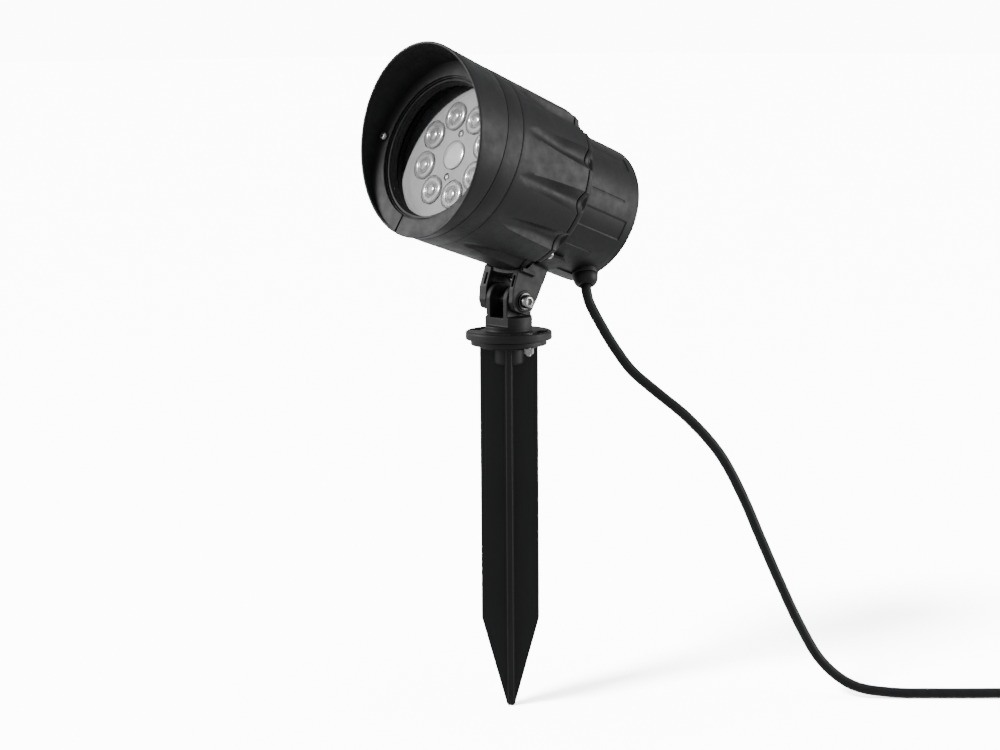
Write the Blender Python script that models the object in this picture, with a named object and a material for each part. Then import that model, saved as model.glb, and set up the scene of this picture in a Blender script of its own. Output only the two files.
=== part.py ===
"""Garden LED spotlight on a ground stake, built as separate named sub-parts.

Metres, +Z up.  The origin is the blunt tip of the stake, on the stake's axis.  The lamp
looks along -Y, turns on the stake about Z and tilts about the pivot bolt, which lies along X.

The head is modelled along its own optical axis: local z runs forward out of the lens, local
x is the bolt's direction and local y is the head's own up.  Its zero is the rear rim of the
main housing.  Angles around that axis are measured from the head's up, towards +x.
"""

import math

import bmesh
import bpy
from mathutils import Matrix, Vector

GAP = 0.0003  # clearance between pieces that touch on the real object
HEX_FLAT = math.cos(math.pi / 6)  # a hexagon's flats, for corners at distance 1

# ---- stake -------------------------------------------------------------------------------
FIN_RADIUS = 0.0173
FIN_THICKNESS = 0.0036
FIN_TAPER_HEIGHT = 0.055
FIN_TIP_RADIUS = 0.0021
FIN_DIRECTION = math.radians(47)
STAKE_PLATE_TOP = 0.2242
STAKE_PLATE_THICKNESS = 0.0030
STAKE_PLATE_RADIUS = 0.0226
COLLAR_RADIUS = 0.0168
COLLAR_THICKNESS = 0.0018
BOSS_RADIUS = 0.00925
BOSS_LENGTH = 0.0100

# ---- swivel base -------------------------------------------------------------------------
BASE_BOTTOM = STAKE_PLATE_TOP + GAP
BASE_TOP = 0.2295
BASE_RADIUS = 0.0257
KNUCKLE_RADIUS = 0.0140
KNUCKLE_TOP = 0.2385
KNUCKLE_RING_TOP = 0.2327
KNUCKLE_FRONT = 0.0098
CHEEK_OUTER = 0.0091
CHEEK_INNER = 0.0057
CHEEK_RADIUS = 0.0099
WINDOW_SILL = 0.2378
WINDOW_BACK = 0.0065

# ---- screws that clamp the swivel --------------------------------------------------------
SLOT_PITCH_RADIUS = 0.0205
SLOT_HALF_SPAN = math.radians(42)
SLOT_HALF_WIDTH = 0.0018
COUNTERBORE_HALF_WIDTH = 0.0033
COUNTERBORE_FLOOR = 0.2270
CLAMP_SCREW_ANGLE = math.radians(-8)
CLAMP_SCREW_RADIUS = 0.0015
CLAMP_HEAD_RADIUS = 0.0028
CLAMP_HEAD_HEIGHT = 0.0021
CLAMP_NUT_RADIUS = 0.00317
CLAMP_NUT_HEIGHT = 0.0034

# ---- head placing ------------------------------------------------------------------------
TILT = math.radians(20.2)  # how far the lamp looks upward at rest
PIVOT_HEIGHT = 0.2478
PIVOT_ALONG = -0.0097  # the pivot bolt in the head's own frame
PIVOT_UP = -0.0672
HEAD_TURN = math.radians(6)  # the lens group sits turned a little about its axis

# ---- main housing ------------------------------------------------------------------------
HOUSING_REAR_RADIUS = 0.0514
HOUSING_FRONT_RADIUS = 0.0530
HOUSING_LENGTH = 0.0570
HOUSING_BORE = 0.0445
WEB_REAR = 0.0470
WEB_FRONT = 0.0520
WEB_HOLE_RADIUS = 0.0050
HOUSING_MOUTH = 0.0450  # the bore in front of the web
FLUTE_COUNT = 12
FLUTE_START = math.radians(8.5)
FLUTE_HALF_WIDTH = math.radians(7.5)
FLUTE_DEPTH = 0.0042
FLUTE_LENGTH = 0.0520
HOUSING_SIDES = 96

# ---- rear cover --------------------------------------------------------------------------
COVER_FLANGE_RADIUS = 0.0504
COVER_RADIUS = 0.0424
COVER_BACK_RADIUS = 0.0418
COVER_BACK = -0.0573
COVER_BORE = 0.0390
COVER_SIDES = 60
COVER_SCREW_PITCH = 0.0476
COVER_SCREW_COUNT = 3
COVER_SCREW_HEAD_RADIUS = 0.0027
COVER_SCREW_HEAD_HEIGHT = 0.0024
COVER_SCREW_SHANK = 0.0014
COVER_SCREW_LENGTH = 0.0135
COVER_SCREW_SEAT = -0.0055
COVER_FLANGE_FRONT = -0.0013
SPIGOT_RADIUS = 0.0441
SPIGOT_FRONT = 0.0060
SEAL_INNER = 0.0448
SEAL_OUTER = 0.0457

# ---- bezel, glass and visor --------------------------------------------------------------
BEZEL_REAR = HOUSING_LENGTH + GAP
BEZEL_STEP = 0.0695
BEZEL_RADIUS = 0.0532
BEZEL_NECK_RADIUS = 0.0512
BEZEL_NECK_FRONT = 0.0732
LIP_FRONT = 0.0726
LIP_BORE = 0.0399
LIP_MOUTH = 0.0406
LIP_EDGE = 0.0419
LIP_GROOVE = 0.0424
LIP_GROOVE_FLOOR = 0.0719
POCKET_RADIUS = 0.0442
POCKET_FRONT = 0.0673
GLASS_RADIUS = 0.0439
GLASS_REAR = 0.0640
GLASS_FRONT = 0.0670
GASKET_INNER = 0.0425
GASKET_REAR = 0.0609
GASKET_FRONT = 0.0637
VISOR_RADIUS = 0.0532
VISOR_WALL = 0.0016
VISOR_FLARE = 0.0008  # how much wider the hood is at its rim
VISOR_BULGE = 0.0013  # extra width at the bottom
VISOR_REAR = 0.0698
VISOR_LEDGE_REAR = 0.0735
VISOR_LEDGE_FRONT = 0.0747
VISOR_LEDGE_RADIUS = 0.0430
VISOR_CUT_MIDDLE = 0.0876
VISOR_CUT_SLOPE = 0.247
VISOR_SLIT = math.radians(197)
VISOR_SLIT_HALF = math.radians(0.8)
VISOR_SCREW_PITCH = 0.0474
VISOR_SCREW_RADIUS = 0.0015
VISOR_SCREW_HEAD_RADIUS = 0.0028
VISOR_SCREW_HEAD_HEIGHT = 0.0020
VISOR_SCREW_LENGTH = 0.0095

# ---- light engine ------------------------------------------------------------------------
LENS_COUNT = 8
LENS_PITCH = 0.0243
LENS_RADIUS = 0.0085
LENS_REAR = 0.0599
LENS_FRONT = 0.0618
PLATE_RADIUS = 0.0434
PLATE_REAR = 0.0576
PLATE_FRONT = 0.0596
PLATE_SCREW_PITCH = 0.54 * LENS_PITCH
PLATE_SCREW_HEAD_RADIUS = 0.0017
PLATE_SCREW_HEAD_HEIGHT = 0.0010
PLATE_SCREW_RADIUS = 0.0010
PLATE_SCREW_LENGTH = 0.0028
BOARD_RADIUS = 0.0420
BOARD_REAR = WEB_FRONT + GAP
BOARD_THICKNESS = 0.0016
LED_HALF = 0.0018
LED_HEIGHT = 0.0007
DRIVER_HALF_WIDTH = 0.016
DRIVER_HALF_HEIGHT = 0.012
DRIVER_REAR = -0.045
DRIVER_FRONT = 0.002
LEAD_RADIUS = 0.0009
LEAD_X = 0.0020

# ---- yoke bracket and pivot bolt ---------------------------------------------------------
EAR_INNER = 0.0094
EAR_OUTER = 0.0132
LEFT_EAR_INNER = 0.0104  # the left ear is thicker, with a pocket for the nut
LEFT_EAR_OUTER = 0.0168
NUT_POCKET_RADIUS = 0.0066
EAR_HALF_WIDTH = 0.0103
EAR_BOTTOM = 0.0074
EAR_TOP_FRONT = -0.0521
EAR_TOP_REAR = -0.0236  # how far back the ear reaches where it meets the saddle
EAR_SEAT_HEIGHT = 0.0006  # the raised seat under each washer
# The ear's rounded lower end around the bolt, rear half: up and along from the bolt.
EAR_END = [(0.0045, -EAR_HALF_WIDTH), (0, -0.0091), (-0.0034, -0.0084), (-EAR_BOTTOM, -0.0051)]
GROOVE_X = 0.0113  # a groove in each ear's front edge
LEFT_GROOVE_X = 0.0129
GROOVE_HALF_WIDTH = 0.0007
GROOVE_LOW = 0.0060
GROOVE_HIGH = 0.0125
GROOVE_DEPTH = 0.0030
SADDLE_INNER = 0.0430
SADDLE_OUTER = 0.0462
SADDLE_HALF_SPAN = math.radians(33)
SADDLE_FRONT = -0.0106
LIP_INNER = 0.0509
LIP_OUTER = 0.0538
LIP_HALF_SPAN = math.radians(20.5)
WEB_LOW = -0.0535
YOKE_SCREW_X = 0.0050
YOKE_SCREW_ALONG = -0.0140
YOKE_SCREW_HEAD_RADIUS = 0.0027
YOKE_SCREW_HEAD_HEIGHT = 0.0020
YOKE_SCREW_RADIUS = 0.0014
YOKE_SCREW_LENGTH = 0.0050
BOLT_RADIUS = 0.0030
BOLT_HOLE_RADIUS = 0.0033
BOLT_HEAD_RADIUS = 0.0041
BOLT_HEAD_HEIGHT = 0.0032
WASHER_RADIUS = 0.0050
WASHER_THICKNESS = 0.0008
PIVOT_NUT_RADIUS = 0.0057
PIVOT_NUT_HEIGHT = 0.0048

# ---- gland, cord, coil and plug ----------------------------------------------------------
GLAND_ANGLE = math.radians(155)
GLAND_ALONG = -0.0480
GLAND_SEAT = 0.0442
GLAND_RADIUS = 0.0074
GLAND_TIP = 0.0510
GLAND_BORE = 0.0039
CORD_RADIUS = 0.0031
COIL_CENTRE = (0.2051, 0.2978)
COIL_RADIUS = 0.0360
COIL_HALF_WIDTH = 0.0094
COIL_HEIGHT = 0.0125
COIL_OUTER_TURN = 0.0422
FLOOR_RUN = math.radians(47.6)  # the way the cord runs along the floor into the coil
PLUG_REACH = 0.0265  # from the coil's outermost point to the plug
PLUG_LENGTH = 0.042
PLUG_HALF_WIDTH = 0.018
PLUG_HALF_THICKNESS = 0.011
PLUG_PIN_RADIUS = 0.0024
PLUG_PIN_LENGTH = 0.019
PLUG_PIN_SPACING = 0.019

# The cord's own route from the gland to the coil, chosen point by point.
CORD_ROUTE = [
    (0.0240, 0.0442, 0.2432),
    (0.0293, 0.0489, 0.2298),
    (0.0353, 0.0544, 0.2164),
    (0.0430, 0.0608, 0.2032),
    (0.0536, 0.0699, 0.1912),
    (0.0690, 0.0830, 0.1745),
    (0.0825, 0.0955, 0.1535),
    (0.0910, 0.1060, 0.1285),
    (0.0970, 0.1165, 0.1010),
    (0.1030, 0.1275, 0.0730),
    (0.1100, 0.1385, 0.0455),
    (0.1190, 0.1490, 0.0225),
    (0.1330, 0.1615, 0.0080),
    (0.1500, 0.1775, 0.0038),
    (0.1680, 0.1955, 0.0034),
    (0.1860, 0.2145, 0.0034),
    (0.2030, 0.2331, 0.0034),
    (0.2193, 0.2510, 0.0034),
]

COLLECTION = bpy.context.scene.collection


# ---- materials ---------------------------------------------------------------------------
def finish(name, colour, roughness, metallic=0.0, alpha=1.0):
    material = bpy.data.materials.new(name)
    material.use_nodes = True
    shader = material.node_tree.nodes["Principled BSDF"]
    shader.inputs["Base Color"].default_value = (*colour, 1.0)
    shader.inputs["Roughness"].default_value = roughness
    shader.inputs["Metallic"].default_value = metallic
    shader.inputs["Alpha"].default_value = alpha
    return material


BLACK_PAINT = ((0.018, 0.018, 0.018), 0.55)
BLACK_PLASTIC = ((0.012, 0.012, 0.012), 0.5)
RUBBER = ((0.010, 0.010, 0.010), 0.75)
STEEL = ((0.62, 0.61, 0.58), 0.25, 1.0)
GREY_PLATE = ((0.42, 0.42, 0.43), 0.5)
CLEAR = ((0.85, 0.86, 0.86), 0.08)
WHITE_BOARD = ((0.75, 0.76, 0.74), 0.6)


# ---- mesh helpers ------------------------------------------------------------------------
def make_object(name, bm, look, smooth=True):
    bmesh.ops.recalc_face_normals(bm, faces=bm.faces)
    mesh = bpy.data.meshes.new(name)
    bm.to_mesh(mesh)
    bm.free()
    obj = bpy.data.objects.new(name, mesh)
    COLLECTION.objects.link(obj)
    mesh.materials.append(finish(name, *look))
    if smooth:
        mesh.shade_smooth()
        mesh.set_sharp_from_angle(angle=math.radians(35))
    return obj


def around(angle, radius, along):
    """A point on the head: angle from the head's up towards +x."""
    return Vector((radius * math.sin(angle), radius * math.cos(angle), along))


def join_rings(bm, first, second, closed=True):
    if len(first) == 1 and len(second) == 1:
        return
    count = max(len(first), len(second))
    for k in range(count if closed else count - 1):
        n = (k + 1) % count
        corners = [first[k % len(first)], first[n % len(first)]]
        corners += [second[n % len(second)], second[k % len(second)]]
        unique = []
        for corner in corners:
            if corner not in unique:
                unique.append(corner)
        bm.faces.new(unique)


def turned(name, profile, look, sides=36, start=0.0, smooth=True):
    """Turn a (radius, along) outline about z.  A radius may be a function of the angle."""
    bm = bmesh.new()
    rings = []
    for radius, along in profile:
        if radius == 0:
            rings.append([bm.verts.new((0, 0, along))])
            continue
        ring = []
        for k in range(sides):
            angle = start + math.tau * k / sides
            size = radius(angle) if callable(radius) else radius
            ring.append(bm.verts.new(around(angle, size, along)))
        rings.append(ring)
    for first, second in zip(rings, rings[1:]):
        join_rings(bm, first, second)
    if profile[0][0] != 0:
        join_rings(bm, rings[-1], rings[0])
    return make_object(name, bm, look, smooth)


def swept_sector(name, outline, low, high, steps, look):
    """Sweep a closed outline of (radius, along) from one angle to another, with end caps."""
    bm = bmesh.new()
    rings = []
    for k in range(steps + 1):
        angle = low + (high - low) * k / steps
        rings.append([bm.verts.new(around(angle, *point)) for point in outline(angle)])
    for first, second in zip(rings, rings[1:]):
        join_rings(bm, first, second)
    bm.faces.new(rings[0])
    bm.faces.new(rings[-1])
    return make_object(name, bm, look)


def arc_block(name, middle, half_span, inner, outer, low, high, look=BLACK_PAINT, steps=12):
    outline = [(inner, low), (outer, low), (outer, high), (inner, high)]
    return swept_sector(
        name, lambda angle: outline, middle - half_span, middle + half_span, steps, look
    )


def prism(name, outline, low, high, look, axis="z", smooth=False):
    """Extrude a flat outline.  Along z it is (x, y); along x it is (y, z)."""
    bm = bmesh.new()
    ends = []
    for level in (low, high):
        if axis == "z":
            ends.append([bm.verts.new((a, b, level)) for a, b in outline])
        else:
            ends.append([bm.verts.new((level, a, b)) for a, b in outline])
    join_rings(bm, ends[0], ends[1])
    bm.faces.new(ends[0])
    bm.faces.new(ends[1])
    return make_object(name, bm, look, smooth)


def block(name, low, high, look=BLACK_PAINT):
    (x0, y0, z0), (x1, y1, z1) = low, high
    return prism(name, [(x0, y0), (x1, y0), (x1, y1), (x0, y1)], z0, z1, look)


def rod(name, radius, low, high, look=STEEL, sides=24):
    return turned(name, [(0, low), (radius, low), (radius, high), (0, high)], look, sides)


def move(obj, matrix):
    obj.data.transform(matrix)
    return obj


def along_x():
    """Turn a piece that was made along z so that it lies along x."""
    return Matrix.Rotation(math.pi / 2, 4, "Y")


def combine(body, other, operation):
    """Join or cut two solids and keep the result as plain mesh."""
    modifier = body.modifiers.new("combine", "BOOLEAN")
    modifier.object = other
    modifier.operation = operation
    modifier.solver = "EXACT"
    graph = bpy.context.evaluated_depsgraph_get()
    result = bpy.data.meshes.new_from_object(body.evaluated_get(graph))
    body.modifiers.clear()
    body.data = result
    bpy.data.objects.remove(other)
    result.materials.clear()
    result.materials.append(bpy.data.materials[body.name])
    result.polygons.foreach_set("material_index", [0] * len(result.polygons))
    result.shade_smooth()
    result.set_sharp_from_angle(angle=math.radians(35))
    return body


def add(body, *others):
    for other in others:
        combine(body, other, "UNION")
    return body


def cut(body, *others):
    for other in others:
        combine(body, other, "DIFFERENCE")
    return body


def empty(name, location, rotation=(0, 0, 0), parent=None):
    axis = bpy.data.objects.new(name, None)
    COLLECTION.objects.link(axis)
    axis.location = location
    axis.rotation_euler = rotation
    axis.parent = parent
    return axis


def screw(name, head_radius, head_height, shank_radius, length, look=STEEL, sides=14):
    """A button-head screw with a hex socket, head up; its seat is at z = 0."""
    top = head_height
    socket = 0.48 * head_radius
    profile = [
        (0, -length), (shank_radius, -length), (shank_radius, 0), (head_radius, 0),
        (head_radius, 0.45 * top), (0.8 * head_radius, 0.85 * top), (socket, top),
        (socket, 0.45 * top), (0, 0.45 * top),
    ]
    return turned(name, profile, look, sides)


# ---- stake body --------------------------------------------------------------------------
def clamp_positions():
    for side, turn in (("r", 0.0), ("l", math.pi)):
        angle = CLAMP_SCREW_ANGLE + turn
        yield side, SLOT_PITCH_RADIUS * math.cos(angle), SLOT_PITCH_RADIUS * math.sin(angle)


def build_stake():
    plate_low = STAKE_PLATE_TOP - STAKE_PLATE_THICKNESS
    collar_low = plate_low - COLLAR_THICKNESS
    boss_low = collar_low - BOSS_LENGTH
    overlap = 0.0004
    stake = turned("ground_stake", [
        (0, boss_low), (BOSS_RADIUS - 0.002, boss_low), (BOSS_RADIUS, boss_low + 0.002),
        (BOSS_RADIUS, collar_low), (COLLAR_RADIUS, collar_low), (COLLAR_RADIUS, plate_low),
        (STAKE_PLATE_RADIUS, plate_low), (STAKE_PLATE_RADIUS, STAKE_PLATE_TOP),
        (0, STAKE_PLATE_TOP),
    ], BLACK_PLASTIC, 48)
    top = collar_low + overlap
    outline = [
        (-FIN_TIP_RADIUS, 0), (FIN_TIP_RADIUS, 0), (FIN_RADIUS, FIN_TAPER_HEIGHT),
        (FIN_RADIUS, top), (-FIN_RADIUS, top), (-FIN_RADIUS, FIN_TAPER_HEIGHT),
    ]
    half = FIN_THICKNESS / 2
    for k in range(2):
        fin = prism("fin", outline, -half, half, BLACK_PLASTIC, axis="x")
        move(fin, Matrix.Rotation(FIN_DIRECTION + k * math.pi / 2, 4, "Z"))
        add(stake, fin)
    for side, x, y in clamp_positions():
        hole = rod("hole", CLAMP_SCREW_RADIUS + GAP, plate_low - 0.001, STAKE_PLATE_TOP + 0.001)
        cut(stake, move(hole, Matrix.Translation((x, y, 0))))
    return stake


def build_clamp_hardware():
    seat = COUNTERBORE_FLOOR + GAP
    plate_low = STAKE_PLATE_TOP - STAKE_PLATE_THICKNESS
    nut_top = plate_low - GAP
    for side, x, y in clamp_positions():
        length = seat - (nut_top - CLAMP_NUT_HEIGHT) + 0.001
        bolt = screw(
            f"clamp_screw_{side}", CLAMP_HEAD_RADIUS, CLAMP_HEAD_HEIGHT,
            CLAMP_SCREW_RADIUS, length,
        )
        bolt.location = (x, y, seat)
        hole = (CLAMP_SCREW_RADIUS + 0.0002) / HEX_FLAT
        nut = turned(f"clamp_nut_{side}", [
            (hole, -CLAMP_NUT_HEIGHT), (CLAMP_NUT_RADIUS, -CLAMP_NUT_HEIGHT),
            (CLAMP_NUT_RADIUS, 0), (hole, 0),
        ], STEEL, 6, smooth=False)
        nut.location = (x, y, nut_top)


# ---- swivel body -------------------------------------------------------------------------
def build_swivel_base(axis):
    base = turned("swivel_base", [
        (0, BASE_BOTTOM), (BASE_RADIUS, BASE_BOTTOM), (BASE_RADIUS, BASE_TOP - 0.0006),
        (BASE_RADIUS - 0.0006, BASE_TOP), (KNUCKLE_RADIUS, BASE_TOP),
        (KNUCKLE_RADIUS, KNUCKLE_TOP), (0, KNUCKLE_TOP),
    ], BLACK_PAINT, 64)
    wide = 0.03
    arc = [math.pi * k / 20 for k in range(21)]
    outline = [(-CHEEK_RADIUS, BASE_TOP + 0.002), (CHEEK_RADIUS, BASE_TOP + 0.002)]
    outline += [
        (CHEEK_RADIUS * math.cos(a), PIVOT_HEIGHT + CHEEK_RADIUS * math.sin(a)) for a in arc
    ]
    add(base, prism("post", outline, -CHEEK_OUTER, CHEEK_OUTER, BLACK_PAINT, axis="x"))
    front = block(
        "front", (-wide, -wide, KNUCKLE_RING_TOP), (wide, -KNUCKLE_FRONT + 0.0001, 0.27)
    )
    window = block(
        "window", (-CHEEK_INNER, -wide, WINDOW_SILL), (CHEEK_INNER, WINDOW_BACK, 0.27)
    )
    bore = rod("bore", BOLT_HOLE_RADIUS, -wide, wide)
    move(bore, Matrix.Translation((0, 0, PIVOT_HEIGHT)) @ along_x())
    cut(base, front, window, bore)
    for middle in (math.pi / 2, -math.pi / 2):
        wide_slot = arc_block(
            "slot", middle, SLOT_HALF_SPAN, SLOT_PITCH_RADIUS - COUNTERBORE_HALF_WIDTH,
            SLOT_PITCH_RADIUS + COUNTERBORE_HALF_WIDTH, COUNTERBORE_FLOOR, BASE_TOP + 0.001,
        )
        through = arc_block(
            "slot", middle, SLOT_HALF_SPAN - math.radians(4),
            SLOT_PITCH_RADIUS - SLOT_HALF_WIDTH, SLOT_PITCH_RADIUS + SLOT_HALF_WIDTH,
            BASE_BOTTOM - 0.001, COUNTERBORE_FLOOR + 0.001,
        )
        cut(base, wide_slot, through)
    base.parent = axis
    base.matrix_parent_inverse = Matrix.Translation(-Vector(axis.location))
    return base


# ---- head body ---------------------------------------------------------------------------
def flute(angle, along):
    """How deep the scoops cut at this angle and distance from the rear rim."""
    reach = 1 - along / FLUTE_LENGTH
    if reach <= 0:
        return 0.0
    pitch = math.tau / FLUTE_COUNT
    offset = (angle - FLUTE_START + pitch / 2) % pitch - pitch / 2
    half_width = FLUTE_HALF_WIDTH * reach ** 0.4
    across = offset / half_width
    if abs(across) >= 1:
        return 0.0
    return FLUTE_DEPTH * min(1.0, 1.6 * reach) * (1 - across * across)


def housing_surface(along):
    share = along / HOUSING_LENGTH
    plain = HOUSING_REAR_RADIUS + (HOUSING_FRONT_RADIUS - HOUSING_REAR_RADIUS) * share
    return lambda angle: plain - flute(angle, along)


def cover_screw_angles():
    ridge = FLUTE_START + math.pi / FLUTE_COUNT
    for k in range(COVER_SCREW_COUNT):
        yield k, ridge + math.tau * k / COVER_SCREW_COUNT


def build_main_housing():
    outer = [(housing_surface(s), s) for s in (0, 0.010, 0.020, 0.030, 0.040, 0.048)]
    profile = outer + [
        (HOUSING_FRONT_RADIUS, HOUSING_LENGTH), (HOUSING_MOUTH, HOUSING_LENGTH),
        (HOUSING_MOUTH, WEB_FRONT),
        (WEB_HOLE_RADIUS, WEB_FRONT), (WEB_HOLE_RADIUS, WEB_REAR),
        (HOUSING_BORE, WEB_REAR), (HOUSING_BORE, 0),
    ]
    housing = turned("main_housing", profile, BLACK_PAINT, HOUSING_SIDES, FLUTE_START)
    for k, angle in cover_screw_angles():
        hole = rod("hole", COVER_SCREW_SHANK + GAP, -0.001, 0.0095, sides=12)
        cut(housing, move(hole, Matrix.Translation(around(angle, COVER_SCREW_PITCH, 0))))
    return [housing]


def build_rear_cover():
    def flange(radius, share):
        return lambda angle: radius - share * flute(angle, 0.0)

    cover = turned("rear_cover", [
        (0, COVER_BACK - 0.001), (0.022, COVER_BACK - 0.0008), (0.037, COVER_BACK),
        (0.0404, COVER_BACK + 0.0014), (COVER_BACK_RADIUS, COVER_BACK + 0.0048),
        (COVER_RADIUS, -0.0120), (0.0432, -0.0095), (flange(0.0468, 0.3), -0.0078),
        (flange(0.0500, 1.0), -0.0048),
        (flange(COVER_FLANGE_RADIUS, 1.0), COVER_FLANGE_FRONT),
        (SPIGOT_RADIUS, COVER_FLANGE_FRONT), (SPIGOT_RADIUS, SPIGOT_FRONT),
        (COVER_BORE, SPIGOT_FRONT), (COVER_BORE, -0.0500),
        (0.0360, -0.0545), (0, -0.0548),
    ], BLACK_PAINT, COVER_SIDES, FLUTE_START)
    seat = rod("seat", GLAND_RADIUS + 0.0009, 0.0400, GLAND_SEAT, BLACK_PAINT, 28)
    add(cover, move(seat, gland_matrix()))
    for k, angle in cover_screw_angles():
        spot = around(angle, COVER_SCREW_PITCH, 0)
        pocket_floor = COVER_SCREW_SEAT + GAP
        pocket = rod("pocket", COVER_SCREW_HEAD_RADIUS + 0.0005, -0.016, pocket_floor, sides=16)
        hole = rod("hole", COVER_SCREW_SHANK + GAP, -0.006, 0.001, sides=12)
        move(pocket, Matrix.Translation(spot))
        move(hole, Matrix.Translation(spot))
        cut(cover, pocket, hole)
    seal = turned("cover_seal", [
        (SEAL_INNER, COVER_FLANGE_FRONT + GAP), (SEAL_OUTER, COVER_FLANGE_FRONT + GAP),
        (SEAL_OUTER, -GAP), (SEAL_INNER, -GAP),
    ], RUBBER, 36)
    pieces = [cover, seal]
    for k, angle in cover_screw_angles():
        bolt = screw(
            f"cover_screw_{k + 1}", COVER_SCREW_HEAD_RADIUS, COVER_SCREW_HEAD_HEIGHT,
            COVER_SCREW_SHANK, COVER_SCREW_LENGTH, sides=12,
        )
        flip = Matrix.Rotation(math.pi, 4, "X")
        seat = Matrix.Translation(around(angle, COVER_SCREW_PITCH, COVER_SCREW_SEAT))
        move(bolt, seat @ flip)
        pieces.append(bolt)
    return pieces


def build_bezel():
    bezel = turned("front_bezel", [
        (0.0531, BEZEL_REAR), (BEZEL_RADIUS, BEZEL_STEP), (BEZEL_NECK_RADIUS, BEZEL_STEP),
        (BEZEL_NECK_RADIUS, BEZEL_NECK_FRONT), (LIP_GROOVE, BEZEL_NECK_FRONT),
        (LIP_GROOVE, LIP_GROOVE_FLOOR), (LIP_EDGE, LIP_GROOVE_FLOOR), (LIP_EDGE, LIP_FRONT),
        (LIP_MOUTH, LIP_FRONT), (LIP_BORE, POCKET_FRONT),
        (POCKET_RADIUS, POCKET_FRONT), (POCKET_RADIUS, BEZEL_REAR),
    ], BLACK_PAINT, 60)
    for angle in visor_screw_angles():
        hole = rod("hole", VISOR_SCREW_RADIUS + GAP, 0.0655, 0.075, sides=12)
        cut(bezel, move(hole, Matrix.Translation(around(angle, VISOR_SCREW_PITCH, 0))))
    gasket = turned("glass_gasket", [
        (GASKET_INNER, GASKET_REAR), (GLASS_RADIUS, GASKET_REAR),
        (GLASS_RADIUS, GASKET_FRONT), (GASKET_INNER, GASKET_FRONT),
    ], RUBBER, 36)
    glass = turned("glass_lens", [
        (0, GLASS_REAR), (GLASS_RADIUS, GLASS_REAR), (GLASS_RADIUS, GLASS_FRONT),
        (0, GLASS_FRONT),
    ], (*CLEAR, 0.0, 0.25), 48)
    return [bezel, gasket, glass]


def visor_screw_angles():
    return (HEAD_TURN + math.pi / 2, HEAD_TURN - math.pi / 2)


def visor_radius(angle, along):
    """The hood's outside: it widens a little towards its rim, most at the bottom."""
    share = (along - VISOR_REAR) / (VISOR_CUT_MIDDLE - VISOR_REAR)
    low = max(0.0, math.cos(angle - VISOR_SLIT)) ** 2
    return VISOR_RADIUS + VISOR_FLARE * share + VISOR_BULGE * low * min(1.0, 3 * share)


def build_visor():
    def outline(angle):
        lean = math.cos(angle - HEAD_TURN) * VISOR_CUT_SLOPE
        rim = max(VISOR_CUT_MIDDLE + VISOR_RADIUS * lean, VISOR_LEDGE_FRONT + 0.0001)
        outer = visor_radius(angle, rim)
        step = visor_radius(angle, VISOR_LEDGE_FRONT) - VISOR_WALL
        return [
            (VISOR_RADIUS, VISOR_REAR), (outer, rim), (outer - VISOR_WALL, rim - 0.00005),
            (step, VISOR_LEDGE_FRONT), (VISOR_LEDGE_RADIUS, VISOR_LEDGE_FRONT),
            (VISOR_LEDGE_RADIUS, VISOR_LEDGE_REAR),
            (BEZEL_NECK_RADIUS + GAP, VISOR_LEDGE_REAR), (BEZEL_NECK_RADIUS + GAP, VISOR_REAR),
        ]

    low = VISOR_SLIT + VISOR_SLIT_HALF
    high = VISOR_SLIT + math.tau - VISOR_SLIT_HALF
    visor = swept_sector("visor", outline, low, high, 60, BLACK_PAINT)
    pieces = [visor]
    for name, angle in zip(("visor_screw_r", "visor_screw_l"), visor_screw_angles()):
        spot = around(angle, VISOR_SCREW_PITCH, 0)
        hole = rod("hole", VISOR_SCREW_RADIUS + GAP, 0.070, 0.080, sides=12)
        cut(visor, move(hole, Matrix.Translation(spot)))
        bolt = screw(
            name, VISOR_SCREW_HEAD_RADIUS, VISOR_SCREW_HEAD_HEIGHT, VISOR_SCREW_RADIUS,
            VISOR_SCREW_LENGTH, sides=12,
        )
        seat = Vector((0, 0, VISOR_LEDGE_FRONT + GAP))
        pieces.append(move(bolt, Matrix.Translation(spot + seat)))
    return pieces


def lens_spots():
    yield "centre", Vector((0, 0, 0))
    for k in range(LENS_COUNT):
        angle = HEAD_TURN + math.tau * (k + 0.5) / LENS_COUNT
        yield str(k + 1), around(angle, LENS_PITCH, 0)


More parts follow.
